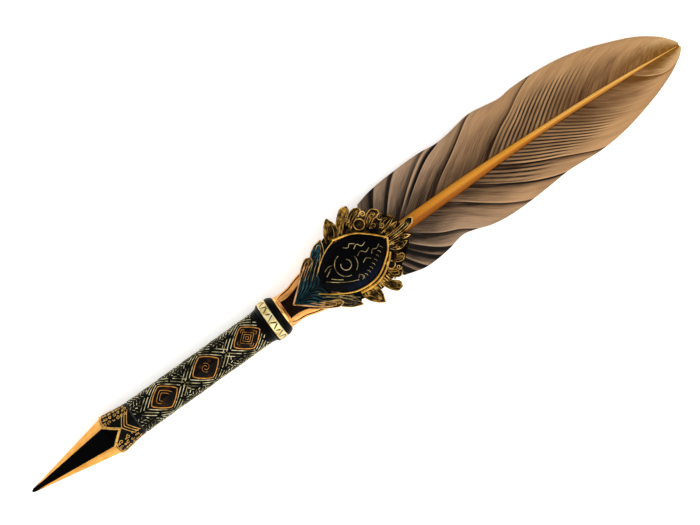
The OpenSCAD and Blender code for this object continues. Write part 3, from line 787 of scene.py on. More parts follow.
def profile_at(points, station):
    """A value read off a smooth line through (station, value) points."""
    if station <= points[0][0]:
        return points[0][1]
    for i in range(len(points) - 1):
        (x0, y0), (x1, y1) = points[i], points[i + 1]
        if station <= x1:
            before, after = points[max(0, i - 1)], points[min(len(points) - 1, i + 2)]
            rise0 = (y1 - before[1]) / (x1 - before[0]) * (x1 - x0)
            rise1 = (after[1] - y0) / (after[0] - x0) * (x1 - x0)
            t = (station - x0) / (x1 - x0)
            return (y0 * (1 + 2 * t) * (1 - t) ** 2 + rise0 * t * (1 - t) ** 2
                    + y1 * t * t * (3 - 2 * t) + rise1 * t * t * (t - 1))
    return points[-1][1]


def lengths(*pairs, start=0.0):
    """(station, value) points from pairs of millimetres."""
    return [(start + a * mm, b * mm) for a, b in pairs]


# Half width, half height and corner radius of the neck, by distance behind the thin ring
neck_edge = lengths((0, 5.6), (2.5, 5.42), (5.2, 5.62), (8, 6.5), (12, 7.42), (13, tongue_half),
                    (31, tongue_half), start=neck_start)
neck_top = lengths((0, 5.4), (0.5, 4.75), (1.2, 4.2), (2.2, 3.75), (3.4, 3.6), (31, 3.6), start=neck_start)
neck_round = lengths((0, 5.75), (3.8, 6.25), (12, 9.3), (31, 9.3), start=neck_start)


def neck_ring(station, inset=0.0, bed=0.0):
    """Section of the neck: rounded rails with a fine groove, and a bed between them."""
    w, h, limit = (profile_at(line, station) - inset for line in (neck_edge, neck_top, neck_round))
    inner = w - rail_width
    quarter = [(0, h - bed), (inner * 0.5, h - bed), (inner, h - bed)]
    quarter += [(inner + 0.02 * mm, h - min(bed, 0.15 * mm)), (inner + 0.2 * mm, h)]
    quarter += [(w - a * mm, h - b * mm) for a, b in (
        (1.3, 0.02), (0.78, 0.1), (0.62, 0.32), (0.46, 0.18), (0.18, 0.35), (0, 0.7))]
    quarter += [(w, h * 0.4), (w, 0)]
    quarter = [tuple(Vector(p) * min(1, limit / max(Vector(p).length, mm))) for p in quarter]
    half = quarter + [(y, -z) for y, z in reversed(quarter[:-1])]
    full = half + [(-y, z) for y, z in reversed(half[1:-1])]
    return [at(station, y, z) for y, z in full]


neck_gold = plated_gold("neck_gold", (0.86, 0.47, 0.17), (0.72, 0.34, 0.10), 0.26, 180)
rings = [neck_ring(neck_start, 0.12 * mm)]
rings += [neck_ring(mix(neck_start, panel_start, share)) for share in (0.15, 0.4, 0.68)]
rings += [neck_ring(panel_start), neck_ring(panel_start + 0.04 * mm, 0, panel_depth)]
rings += [neck_ring(mix(panel_start, panel_end, k / 14), 0, panel_depth) for k in range(1, 15)]
rings.append(neck_ring(panel_end + 0.04 * mm))
rings += [neck_ring(mix(panel_end, neck_end, share)) for share in (0.3, 0.65, 0.98)]
rings.append(neck_ring(neck_end, 0.2 * mm))
bm = bmesh.new()
loft(bm, rings)
neck = to_piece("neck_rails", bm, neck_gold, 28)


def rod(bm, start, end, radius, segments=32):
    """A closed round rod between two points."""
    made = bmesh.ops.create_cone(bm, cap_ends=True, segments=segments, radius1=radius, radius2=radius,
                                 depth=(end - start).length)
    turn = (end - start).to_track_quat("Z", "Y").to_matrix()
    bmesh.ops.rotate(bm, cent=(0, 0, 0), matrix=turn, verts=made["verts"])
    bmesh.ops.translate(bm, vec=(start + end) / 2, verts=made["verts"])


def screw_rods(bm, low, high):
    """The four rods that cut the screw holes."""
    for station in screw_stations:
        for across in (-screw_across, screw_across):
            rod(bm, at(station, across, low), at(station, across, high), screw_r)


bm = bmesh.new()
rod(bm, at(neck_start - mm), at(stud_hole_end), stud_r, 48)
rod(bm, at(socket_start - 0.1 * mm), at(neck_end + mm), socket_r, 48)
screw_rods(bm, -5 * mm, 5 * mm)
cut_away(neck, to_piece("neck_cutter", bm, neck_gold))
fit(neck, "barrel", "gold_plate", "neck_frame")

strokes = []
for side in (-1, 1):
    for face in (-1, 1):
        line = []
        for station in [mix(neck_start + 0.5 * mm, panel_end, k / 16) for k in range(17)]:
            corner = Vector((profile_at(neck_edge, station) - 0.62 * mm,
                             profile_at(neck_top, station) - 0.2 * mm))
            corner *= min(1, (profile_at(neck_round, station) - 0.1 * mm) / corner.length)
            line.append((at(station, side * corner.x, face * corner.y), 1))
        strokes.append(line)
fit(wires("neck_lines", strokes, 0.2, black_lacquer), "barrel", "black_lacquer")

panel_enamel = surface("panel_enamel", (0.03, 0.010, 0.004), 0.2, specular=0.06)
tint(panel_enamel, grain(panel_enamel, 260, 3), (0.35, (0.004, 0.002, 0.001)), (0.7, (0.022, 0.007, 0.002)))
bump(panel_enamel, grain(panel_enamel, 420, 2), 0.05, 0.3)
for end, face in (("front", 1), ("back", -1)):
    rings = []
    for station in [mix(panel_start, panel_end, k / 14) for k in range(15)]:
        inner = profile_at(neck_edge, station) - rail_width - 0.01 * mm
        top = min(profile_at(neck_top, station), plate_z + 0.5 * mm)
        over = [at(station, inner * share, face * (top - 0.16 * mm + 0.14 * mm * (1 - share ** 2)))
                for share in [1 - j / 4 for j in range(9)]]
        rings.append(over + [at(station, y, face * (top - panel_depth + 0.02 * mm)) for y in (-inner, inner)])
    bm = bmesh.new()
    loft(bm, rings)
    fit(to_piece("neck_enamel_" + end, bm, panel_enamel), "barrel", "dark_enamel", "neck_panel_" + end)

cork = surface("cork", (0.42, 0.26, 0.14), 0.85)
place = add_node(cork, "TexCoord").outputs["Object"]
cells = add_node(cork, "TexVoronoi", {"Vector": place, "Scale": 2400.0}).outputs["Distance"]
tint(cork, grain(cork, 1500, 5), (0.3, (0.26, 0.15, 0.07)), (0.7, (0.50, 0.33, 0.19)))
bump(cork, cells, 0.05, 0.6)
refinish(cork, "quill_liner")

# ---- Crest: plates ---------------------------------------------------------
# Two cast plates clamp the tongue. Four screws come up from the back plate, through
# the neck, into the thick front plate that carries the leaves and the shield.
face_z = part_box("crest_front_plate")[1].z - axis_z


def crest_line(*pairs):
    """Points on the crest as millimetres behind its front point and to its left."""
    return [Vector((crest_start + a * mm, b * mm)) for a, b in pairs]


def rounded_line(points, steps=6):
    """A smooth line through points, passing each of them."""
    last = len(points) - 1
    line = []
    for i in range(last):
        a, b, c, d = (points[min(last, max(0, i + k))] for k in (-1, 0, 1, 2))
        for t in [step / steps for step in range(steps)]:
            line.append(0.5 * (2 * b + (c - a) * t + (2 * a - 5 * b + 4 * c - d) * t ** 2
                               + (3 * b - a - 3 * c + d) * t ** 3))
    return line + [points[-1].copy()]


def on_face(points, up):
    """Flat crest points stood at a height over the axis."""
    return [at(p.x, p.y, up) for p in points]


def strand(points, up, weight=1.0):
    """A wire through flat crest points, set in millimetres over the front plate."""
    return [(p, weight) for p in on_face(points, face_z + up * mm)]


def shrunk(points, amount):
    """A closed outline moved inwards by an amount, along its own normals."""
    count = len(points)
    area = sum(points[i - 1].x * points[i].y - points[i].x * points[i - 1].y for i in range(count))
    hand = 1 if area > 0 else -1
    moved = []
    for i, p in enumerate(points):
        run = (points[(i + 1) % count] - points[i - 1]).normalized()
        moved.append(p + Vector((-run.y, run.x)) * hand * amount)
    return moved


plate_half = ((2.6, 2.4), (6.4, 5.6), (10.6, 8.0), (15, 10.0), (20, 11.6), (26, 12.2), (32, 11.0),
              (37.5, 8.4), (41.2, 5.0), (42.2, 1.8))
plate_edge = crest_line((0, 0), *plate_half, *[(a, -b) for a, b in reversed(plate_half)])
cast_bronze = surface("cast_bronze", (0.07, 0.042, 0.012), 0.42, 0.75, 0.1)
rubbed = maths(cast_bronze, "MULTIPLY_ADD", attribute(cast_bronze, "worn"), 0.3, grain(cast_bronze, 460, 4))
gilt = ramp(cast_bronze, rubbed, (0.50, (0.004, 0.003, 0.002)), (0.66, (0.07, 0.042, 0.012)),
            (0.84, (0.45, 0.28, 0.07)))
washed = ramp(cast_bronze, rubbed, (0.46, (0.004, 0.003, 0.002)), (0.60, (0.004, 0.022, 0.032)),
              (0.76, (0.02, 0.10, 0.15)))
drive(cast_bronze, blended(cast_bronze, attribute(cast_bronze, "teal"), gilt, washed))
bump(cast_bronze, grain(cast_bronze, 1100, 3), 0.05, 0.6)
back_metal = blackened("back_metal", (0.50, 0.33, 0.12), (0.05, 0.035, 0.018), 0.45)

# Each plate: its inset and height at every step of its edge, and the reach of its screw holes
for name, node, metal, steps, low, high in (
        ("crest_plate", "crest_front_plate", cast_bronze,
         ((0.25, plate_z), (0, plate_z + 0.25 * mm), (0, face_z - 0.3 * mm), (0.3, face_z - 0.05 * mm)),
         2 * mm, face_z - 0.4 * mm),
        ("crest_backing", "crest_back_plate", back_metal,
         ((0.05, -plate_z), (0, -plate_z - 0.35 * mm), (0.35, -plate_z - 0.95 * mm),
          (1.3, -plate_z - 0.95 * mm), (1.6, -plate_z - 0.7 * mm)),
         -7 * mm, 0)):
    bm = bmesh.new()
    loft(bm, [on_face(shrunk(plate_edge, inset * mm), up) for inset, up in steps])
    plate = to_piece(name, bm, metal)
    bm = bmesh.new()
    screw_rods(bm, low, high)
    cut_away(plate, to_piece("plate_cutter", bm, back_metal))
    fit(plate, "barrel", "antique_gold", node)
blued_steel = plated_gold("blued_steel", (0.42, 0.40, 0.38), (0.25, 0.23, 0.21), 0.3, 500)
refinish(blued_steel, "crest_screws")

# ---- Crest: acanthus leaves --------------------------------------------------
# Cast leaves and finger shapes curl out from behind the shield, soldered to the plate.
# They are blackened, and gilt wire follows their rims and their inner ribs.
leaf_relief = (0.05, 0.34, 0.30, 0.05, 0.26, 0.34, 0.26, 0.05, 0.30, 0.34, 0.05)
leaf_across = (-1.0, -0.92, -0.74, -0.45, -0.2, 0.0, 0.2, 0.45, 0.74, 0.92, 1.0)


def leaf_mesh():
    """A mesh whose vertices say how worn they are and how much teal wash they hold."""
    bm = bmesh.new()
    return bm, bm.verts.layers.float.new("worn"), bm.verts.layers.float.new("teal")


class Leaf:
    """A leaf's size and place, from its row of crest millimetres."""

    def __init__(self, row, up):
        a, b, c, d, width, bow, self.blunt, self.teal, self.worn = row
        self.root, tip = crest_line((a, b), (c, d))
        self.run = tip - self.root
        self.beside = Vector((-self.run.y, self.run.x)).normalized()
        self.half, self.bow, self.up = width / 2 * mm, bow * self.run.length, face_z + up * mm

    def spread(self, t):
        """Share of the half width: a pointed leaf, or a finger with a round end."""
        if self.blunt:
            return (0.6 + 0.4 * t) * math.sqrt(clamp(1 - max(0, (t - 0.78) / 0.22) ** 2))
        return math.sin(math.pi * (0.2 + 0.8 * t)) ** 0.8

    def spot(self, t, across, lift):
        middle = self.root + self.run * t + self.beside * self.bow * math.sin(math.pi * t)
        p = middle + self.beside * across * self.half * max(0.04, self.spread(t))
        return at(p.x, p.y, self.up + lift + 0.35 * mm * t)

    def loop(self, share, start, end, lift, weight):
        """A wire that runs out along one side, round the end and back."""
        return [(self.spot(mix(first, last, k / 10), side, lift * mm), weight)
                for first, last, side in ((start, end, -share), (end, start, share)) for k in range(11)]

    def build(self, bm, worn_layer, teal_layer):
        """Casts the leaf, and gives back the wires along its rim and its rib."""
        rings = []
        for t in [k / 12 for k in range(13)]:
            slack = min(1, self.spread(t) * self.half / (0.8 * mm))
            rings.append([self.spot(t, a, r * mm * slack) for a, r in zip(leaf_across, leaf_relief)]
                         + [self.spot(t, a, -0.3 * mm) for a in (0.9, -0.9)])
        for vert, relief in zip(loft(bm, rings), (leaf_relief + (0, 0)) * len(rings)):
            vert[worn_layer] = self.worn + relief
            vert[teal_layer] = self.teal
        return [self.loop(0.95, 0.0, 1.0, 0.16, 1.0), self.loop(0.40, 0.15, 0.78, 0.24, 0.65)]


def around(a, b, radius, angle, up):
    """A point at an angle round a place on the crest, in crest millimetres."""
    middle = crest_line((a, b))[0]
    return at(middle.x + radius * mm * math.cos(angle), middle.y + radius * mm * math.sin(angle),
              face_z + up * mm)


def scroll(a, b, size, turns, start, hand):
    """A spiral of wire lying on the crest, thick at its outer end."""
    steps = max(10, int(16 * turns))
    sweep = hand * 2 * math.pi * turns
    return [(around(a, b, size * (0.15 + 0.85 * t), start + sweep * t, 0.62), 0.7 + 0.5 * t)
            for t in [i / steps for i in range(steps + 1)]]


def hoop(a, b, size, weight=1.3):
    """A ring of wire on the crest."""
    return [(around(a, b, size, k * math.pi / 8, 0.55), weight) for k in range(17)]


# Each leaf: root a and b, tip a and b, width, bow, blunt end, teal wash, extra gilding
left_leaves = (
    (13.2, 6.4, 18.6, 11.6, 4.2, 0.02, 0, 1.0, 0.25), (6.4, 4.4, 12.9, 9.0, 2.9, 0.06, 1, 0.0, 0.0),
    (21.0, 9.0, 24.0, 15.9, 4.8, -0.08, 0, 0.0, 0.15), (24.6, 9.8, 31.4, 15.5, 3.4, 0.06, 1, 0.0, 0.6),
    (28.4, 9.8, 34.4, 12.6, 3.2, 0.10, 1, 0.0, 0.15), (33.0, 6.4, 38.8, 9.0, 3.4, 0.12, 1, 0.0, 0.1),
    (36.2, 3.0, 41.8, 4.4, 3.0, 0.10, 0, 0.0, 0.1))
right_leaves = (
    (11.0, -4.6, 18.0, -12.6, 4.2, -0.02, 0, 0.35, 0.0), (3.6, -3.2, 13.4, -8.6, 2.7, -0.02, 1, 0.0, 0.55),
    (20.8, -9.4, 24.0, -16.0, 5.0, 0.08, 0, 0.0, 0.3), (26.8, -9.6, 31.3, -15.2, 3.6, -0.06, 1, 0.0, 0.45),
    (29.6, -8.4, 34.2, -11.4, 3.0, -0.10, 1, 0.0, 0.2), (32.6, -5.2, 37.6, -7.6, 2.6, -0.12, 1, 0.0, 0.1),
    (35.4, -2.6, 40.8, -4.4, 2.6, -0.10, 0, 0.3, 0.1))
# Each curl: its eye a and b, size, turns, first angle, hand
left_curls = (
    (29.4, 11.6, 0.9, 1.2, 2.0, -1), (34.2, 10.6, 1.1, 1.4, 0.3, 1), (36.4, 8.4, 1.0, 1.3, 3.0, 1),
    (38.2, 6.6, 1.2, 1.5, 3.6, -1), (35.0, 5.6, 1.0, 1.3, 1.8, 1), (37.2, 4.2, 0.9, 1.3, 5.0, -1),
    (40.4, 5.0, 0.8, 1.2, 1.0, 1), (27.6, 12.6, 0.8, 1.2, 0.2, 1))
right_curls = (
    (30.4, -11.0, 1.0, 1.3, 0.5, -1), (35.4, -6.2, 0.9, 1.4, 2.2, 1), (37.4, -4.4, 0.8, 1.3, 3.0, -1),
    (34.0, -9.6, 0.9, 1.2, 4.4, 1), (39.4, -3.0, 0.8, 1.2, 1.0, 1), (28.6, -12.8, 0.8, 1.2, 3.8, -1))
copper_gold = plated_gold("copper_gold", (0.74, 0.44, 0.24), (0.26, 0.13, 0.05), 0.3, 500)
rubbed_gold = surface("rubbed_gold", (0.6, 0.38, 0.1), 0.34, 0.95)
tint(rubbed_gold, grain(rubbed_gold, 420, 4), (0.36, (0.02, 0.013, 0.006)), (0.47, (0.30, 0.17, 0.04)),
     (0.62, (0.72, 0.46, 0.14)), (0.75, (0.85, 0.62, 0.30)))
bump(rubbed_gold, grain(rubbed_gold, 1500, 2), 0.03, 0.4)
draw = random.Random(31)
for name, rows, curls, hoops in (
        ("left", left_leaves, left_curls, [hoop(31.5, 8.6, 1.75), hoop(30.2, 14.3, 0.7, 0.9)]),
        ("right", right_leaves, right_curls, [hoop(32.4, -7.6, 1.3), hoop(30.6, -14.4, 0.7, 0.9)])):
    bm, *layers = leaf_mesh()
    strokes, copper_strokes = [], []
    for k, row in enumerate(rows):
        loops = Leaf(row, -0.06 + 0.05 * (k % 3)).build(bm, *layers)
        (copper_strokes if k == 1 else strokes).extend(loops)
    strokes += [scroll(*curl_row) for curl_row in curls] + hoops
    fit(to_piece("leaves_" + name, bm, cast_bronze, 50), "barrel", "antique_gold", "crest_leaves_" + name)
    fit(wires("leaf_wires_" + name, strokes, 0.19, rubbed_gold, 2), "barrel", "antique_gold")
    fit(wires("leaf_copper_" + name, copper_strokes, 0.18, copper_gold, 2), "barrel", "antique_gold")

bm, *layers = leaf_mesh()
strokes = []
for row, up in (((35.4, -1.4, 42.6, -3.4, 2.2, 0.06, 0, 0.4, 0.1), -0.02),
                ((35.6, 1.6, 41.6, 2.4, 2.0, -0.06, 0, 0.0, 0.1), -0.02),
                ((35.4, -0.3, 46.4, 0.7, 2.8, -0.05, 1, 0.3, 0.0), 0.23)):
    strokes += Leaf(row, up).build(bm, *layers)
fit(to_piece("leaf_top", bm, cast_bronze, 50), "barrel", "antique_gold", "crest_top_leaf")
fit(wires("leaf_wires_top", strokes, 0.21, rubbed_gold, 2), "barrel", "antique_gold")

# ---- Crest: shield -------------------------------------------------------------
# A black enamel panel, open towards the chevron and held by gilt rims behind. It bears
# a plain device of fine wire: a broken ring, waves beside it and ticks below.
shield_knots = crest_line(
    (9.4, 0.2), (12.2, 3.4), (15.2, 5.8), (18.4, 7.6), (22.0, 8.3), (26.0, 7.8), (29.2, 6.3),
    (32.0, 4.0), (36.2, 0.3), (34.3, -2.8), (31.8, -5.0), (28.0, -7.5), (23.6, -8.4), (19.2, -7.9),
    (15.2, -6.2), (11.3, -3.8))
smooth_edge = rounded_line(shield_knots[:9])[:-1] + rounded_line(shield_knots[8:] + shield_knots[:1])[:-1]

# Each rim: its height, its thickness at the start and at the end, and its points
rims = []
for up, first, last, points in (
        (0.55, 1.1, 0.8, ((21.6, 9.4), (23.8, 8.8), (26.4, 8.1), (29.2, 6.8), (32.0, 4.5), (34.4, 2.2),
                          (36.4, 0.1))),
        (0.55, 0.45, 0.85, ((8.4, -1.8), (11.3, -4.0), (15.2, -6.5), (19.2, -8.3), (24.0, -8.8), (28.0, -7.9),
                            (31.9, -5.4), (34.4, -3.1), (36.4, 0.1))),
        (0.30, 1.2, 0.9, ((19.6, -9.4), (24.0, -9.9), (28.4, -9.0), (32.4, -6.4), (34.6, -4.2))),
        (0.5, 0.42, 0.5, ((12.0, 3.6), (15.0, 6.1), (18.4, 8.0), (21.6, 9.0)))):
    line = strand(rounded_line(crest_line(*points)), up)
    rims.append([(p, mix(first, last, smooth(2 * i / len(line)))) for i, (p, _) in enumerate(line)])
shield_gold = plated_gold("shield_gold", (0.74, 0.46, 0.11), (0.36, 0.19, 0.035), 0.28, 420)
fit(wires("shield_rim", rims, 0.46, shield_gold, 2), "barrel", "gold_plate", "crest_rim")
gadroons = []
for k in range(13):
    foot = crest_line((mix(20.4, 30.8, k / 12), mix(-10.2, -9.2, (k / 12) ** 2)))[0]
    out = foot + Vector((0.10 * (k - 4), -1.7 - draw.uniform(0, 0.5))) * mm
    gadroons.append(strand([foot], 0.1) + strand([foot.lerp(out, 0.5)], 0.1, 1.2) + strand([out], 0.1, 0.6))
fit(wires("gadroons", gadroons, 0.26, antique_gold, 2), "barrel", "antique_gold")

black_enamel = surface("black_enamel", (0.002, 0.002, 0.003), 0.2, specular=0.05)
low_edge = faded(black_enamel, coordinate(black_enamel, "Y"), -7.5 * mm, -1 * mm, 1.0, 0.0)
blued = maths(black_enamel, "MULTIPLY", low_edge, grain(black_enamel, 500, 3))
tint(black_enamel, blued, (0.25, (0.002, 0.002, 0.003)), (0.6, (0.006, 0.012, 0.035)))
bump(black_enamel, grain(black_enamel, 600, 3), 0.06, 0.5)
shield_middle = crest_line((24, 0))[0]
bm = bmesh.new()
loft(bm, [on_face(shrunk(smooth_edge, 0.1 * mm), face_z - 0.04 * mm)]
     + [on_face([shield_middle.lerp(p, share) for p in smooth_edge], face_z + up * mm)
        for share, up in ((0.96, 0.12), (0.8, 0.34), (0.6, 0.5), (0.4, 0.60), (0.2, 0.65), (0.02, 0.66))])
fit(to_piece("shield_enamel", bm, black_enamel, 60), "barrel", "black_lacquer", "crest_shield_enamel")

strokes = []
for start, sweep, size in ((1.7, 2.9, 3.7), (-1.1, 1.3, 3.7), (2.4, 3.6, 1.7), (-0.4, 1.4, 1.7)):
    strokes.append([(around(20.8, 0.6, size, start + sweep * k / 12, 0.66), 1.1) for k in range(13)])
for row in ((23.0, 5.6, 24.4, 4.6, 25.4, 5.4, 26.8, 4.4), (25.6, 3.2, 27.2, 4.0, 28.2, 2.6, 29.8, 3.0),
            (25.4, 0.8, 27.0, 1.5, 28.2, 0.3, 29.8, 0.9), (29.4, -1.2, 30.4, -0.2, 31.6, -0.7, 33.0, 0.0),
            (25.6, -2.0, 27.2, -1.3, 28.4, -2.4), (13.6, 0.9, 15.4, 1.9, 16.2, 2.4),
            (14.0, 2.6, 15.6, 3.2, 17.0, 3.0), (12.6, -0.2, 15.4, -2.4, 18.6, -4.4, 21.4, -5.6),
            (14.4, -0.4, 16.0, -1.8, 17.4, -2.8), (21.6, -5.2, 22.6, -4.4, 23.4, -5.6, 22.4, -6.2)):
    wave = rounded_line(crest_line(*zip(row[0::2], row[1::2])), 3)
    strokes.append([(at(p.x, p.y, face_z + 0.66 * mm - 0.012 * abs(p.y)), 1) for p in wave])
for share in [k / 8 for k in range(9)]:
    foot = crest_line((mix(23.2, 33.2, share), mix(-6.4, -1.8, share ** 1.5)))[0]
    head = foot + Vector((-0.4, 1.1)) * mm
    strokes.append(strand([foot, (foot + head) / 2 + Vector((0.2, 0)) * mm, head], 0.46, 0.8))
tracery_gold = surface("tracery_gold", (0.45, 0.36, 0.18), 0.38, 0.8)
tint(tracery_gold, grain(tracery_gold, 500, 3), (0.36, (0.14, 0.10, 0.04)), (0.62, (0.56, 0.46, 0.24)))
fit(wires("shield_tracery", strokes, 0.16, tracery_gold), "barrel", "pale_gold", "crest_motif")

# ---- Crest: chevron --------------------------------------------------------------
# Ribbed teal enamel fans back from the point, between two copper-gold edges, and
# darkens to black along both arms and where it runs into the shield.
teal_enamel = surface("teal_enamel", (0.004, 0.03, 0.04), 0.3, specular=0.15)
# The rib value follows each rib's height: its grooves are painted black as shade and its crests pale teal as
# a painted highlight
mottle_and_painted_light = maths(teal_enamel, "MULTIPLY", attribute(teal_enamel, "painted_rib_light"), grain(teal_enamel, 700, 4))
tint(teal_enamel, mottle_and_painted_light, (0.10, (0.001, 0.002, 0.002)), (0.30, (0.002, 0.010, 0.013)),
     (0.52, (0.005, 0.040, 0.052)), (0.78, (0.05, 0.12, 0.13)))
bump(teal_enamel, grain(teal_enamel, 1200, 3), 0.05, 0.5)
outer_knots = ((0.0, 0.0), (3.4, 2.8), (7.0, 5.8), (11.2, 8.4), (15.4, 10.4), (18.2, 11.6))
left_inner = ((2.0, 0.0), (10.4, 0.3), (12.4, 3.3), (15.0, 5.6), (17.4, 7.3), (20.0, 8.8))
right_inner = ((2.0, 0.0), (10.0, 0.2), (11.6, -3.8), (14.6, -6.2), (17.2, -7.6), (20.0, -8.8))
bm = bmesh.new()
painted_rib_light_layer = bm.verts.layers.float.new("painted_rib_light")
strokes = []
for side, knots in ((1, left_inner), (-1, right_inner)):
    outer = rounded_line(crest_line(*[(a, side * b) for a, b in outer_knots]))
    inner = rounded_line(crest_line(*knots))
    rings, painted_rib_lights = [], []
    for i, (p, q) in enumerate(zip(outer, inner)):
        t = i / (len(outer) - 1)
        line = []
        for share in [j / 32 for j in range(33)]:
            wave = abs(math.sin(math.pi * (share * 6 + 0.6 * t)))
            line += on_face([p.lerp(q, share)], face_z + (0.10 + 0.36 * wave * smooth(t * 6 + 0.2)) * mm)
            # The painted light from each rib's height, fading darker along the arm and across it
            painted_rib_lights.append(wave * mix(1.25, 0.42, smooth(t * 1.9 - 0.35)) * mix(1.0, 0.75, share))
        rings.append(line + on_face([q, p], face_z - 0.05 * mm))
        painted_rib_lights += [0, 0]
    for vert, painted_rib_light in zip(loft(bm, rings), painted_rib_lights):
        vert[painted_rib_light_layer] = painted_rib_light
    strokes.append([(p, 1.0 - 0.5 * i / 17) for i, (p, _) in enumerate(strand(outer[:17], 0.32))])
fit(to_piece("chevron_enamel", bm, teal_enamel, 60), "barrel", "blue_enamel", "crest_chevron_enamel")
fit(wires("chevron_edges", strokes, 0.36, copper_gold, 2), "barrel", "gold_plate")
strokes = []
for a, b, c, d in ((8.6, -3.2, 16.6, -9.4), (10.0, -3.9, 17.2, -8.6), (8.0, -4.2, 15.2, -10.4),
                   (12.6, -5.6, 17.8, -11.6), (14.4, -6.6, 18.6, -10.4), (9.0, 2.6, 14.6, 7.2),
                   (8.2, 3.8, 13.4, 7.8), (11.0, 2.9, 16.6, 8.4)):
    line = crest_line((a, b), ((a + c) / 2, (b + d) / 2 + draw.uniform(-0.3, 0.3)), (c, d))
    strokes.append([(p, 1 - 0.3 * abs(k - 1)) for k, (p, _) in enumerate(strand(line, 0.5))])
fit(wires("chevron_strands", strokes, 0.12, tracery_gold), "barrel", "gold_plate")

# ---- Feather: the quill shaft ----------------------------------------------
# The hollow horn-coloured shaft of a flight feather, bowed to one side and dipping to
# the table. Its trimmed end is glued in a brass ferrule that pulls out of the cork.
refinish(turned_brass, "quill_ferrule")
shaft_start = span("quill_shaft")[0]
ferrule_end = span("quill_ferrule")[1]
vane_first, total_length = span("vane_left")
free_start = 148.7 * mm
free_length = total_length - free_start
shaft_sizes = lengths((128, 2.05), (149, 2.05), (168, 1.92), (184, 1.42), (200, 1.06), (216, 0.92),
                      (232, 0.62), (242, 0.26), (248, 0.1), (250, 0.08))


def free_share(station):
    """0 where the feather leaves the crest and 1 at its tip."""
    return max(0.0, (station - free_start) / free_length)


def shaft_line(station):
    """The middle of the shaft: a bow to the right, and a dip that lifts at the tip."""
    q = free_share(station)
    return at(station, -4.3 * mm * q ** 2.6, (-18 * q * q + 19.5 * q ** 3) * mm)


def shaft_half(station):
    return profile_at(shaft_sizes, station)


horn = surface("horn", (0.72, 0.36, 0.08), 0.4, specular=0.25)
outward = faded(horn, coordinate(horn, "X"), tip_x + 145 * mm, tip_x + 230 * mm, 0.12, 0.85)
fibre = grain(horn, 500, 4, (0.06, 1, 1))
streaked = maths(horn, "ADD", maths(horn, "MULTIPLY_ADD", fibre, 0.5, -0.25), outward)
# Two copies of the horn colour, one painted lit and one painted in shade; a value on each vertex blends them,
# painting light on the shaft's left facet and shade on its right
painted_lit_horn = ramp(horn, streaked, (0.0, (0.54, 0.20, 0.006)), (0.5, (0.76, 0.38, 0.05)), (1.0, (0.88, 0.56, 0.18)))
painted_shade_horn = ramp(horn, streaked, (0.0, (0.28, 0.085, 0.003)), (0.5, (0.42, 0.15, 0.010)),
             (1.0, (0.60, 0.30, 0.06)))
drive(horn, blended(horn, attribute(horn, "painted_light"), painted_shade_horn, painted_lit_horn))
bump(horn, fibre, 0.05, 0.35)

# The shaft's section as (across, up, painted light): a left facet painted lit, a soft ridge, a right
# facet painted in shade and a round belly painted from shade to part lit
section = ((1.0, 0.10, 1), (0.80, 0.50, 1), (0.48, 0.80, 1), (0.12, 0.98, 1), (-0.10, 0.98, 0.55),
           (-0.34, 0.80, 0.1), (-0.72, 0.44, 0), (-1.0, 0.05, 0), (-0.90, -0.45, 0), (-0.55, -0.85, 0),
           (0.0, -0.80, 0.3), (0.55, -0.85, 0.6), (0.90, -0.45, 0.8))
shaft_end = free_start + free_length * 0.985
stations = [shaft_start] + [mix(ferrule_end, shaft_end, k / 60) for k in range(61)]
bm = bmesh.new()
painted_light_layer = bm.verts.layers.float.new("painted_light")
rings = [[shaft_line(s) + Vector((0, y, z)) * shaft_half(s) for y, z, _ in section] for s in stations]
for vert, (_, _, light) in zip(loft(bm, rings), section * len(rings)):
    vert[painted_light_layer] = light
fit(to_piece("feather_shaft", bm, horn, 60), "feather", "quill", "quill_shaft")

# ---- Feather: the two vanes -----------------------------------------------
# Barbs hooked into one thin sheet each side of the shaft, swept towards the tip and parted into clumps that
# lap like shingles, with a painted highlight on each front edge and painted shadow at each end. Bars of
# raised barbs cross the outer half, with shade painted between them.
vane_start = vane_first + 0.5 * mm
vane_length = total_length - vane_start
barb_count = 54
barb_steps = 12
barb_rows = 24
barb_thickness = 0.12 * mm
table_clear = ring_r - 0.45 * mm
shaft_dip = (-18 * 0.25 + 19.5 * 0.125) * mm

# The feather's edges, as millimetres from the nib's tip and out from the axis
left_edge = lengths(
    (131, 13.0), (135, 13.6), (143, 15.4), (154, 16.1), (163, 16.1), (168.6, 15.4), (174, 15.8),
    (182.5, 17.1), (188, 16.4), (193.8, 15.5), (199, 16.0), (207, 15.8), (216, 14.8), (224, 12.8),
    (232, 9.8), (240, 6.1), (246, 1.6), (249, -2.2), (250, -4.3))
right_edge = lengths(
    (131, -12.0), (135, -12.6), (143, -14.8), (148, -14.9), (153, -14.4), (158.9, -13.3), (163, -14.2),
    (168.5, -16.1), (175, -17.1), (184, -17.2), (192, -16.8), (198.6, -16.4), (204, -16.7), (211, -17.2),
    (219, -16.7), (226, -15.4), (235, -13.0), (242, -10.4), (247, -7.6), (249, -5.8), (250, -4.3))

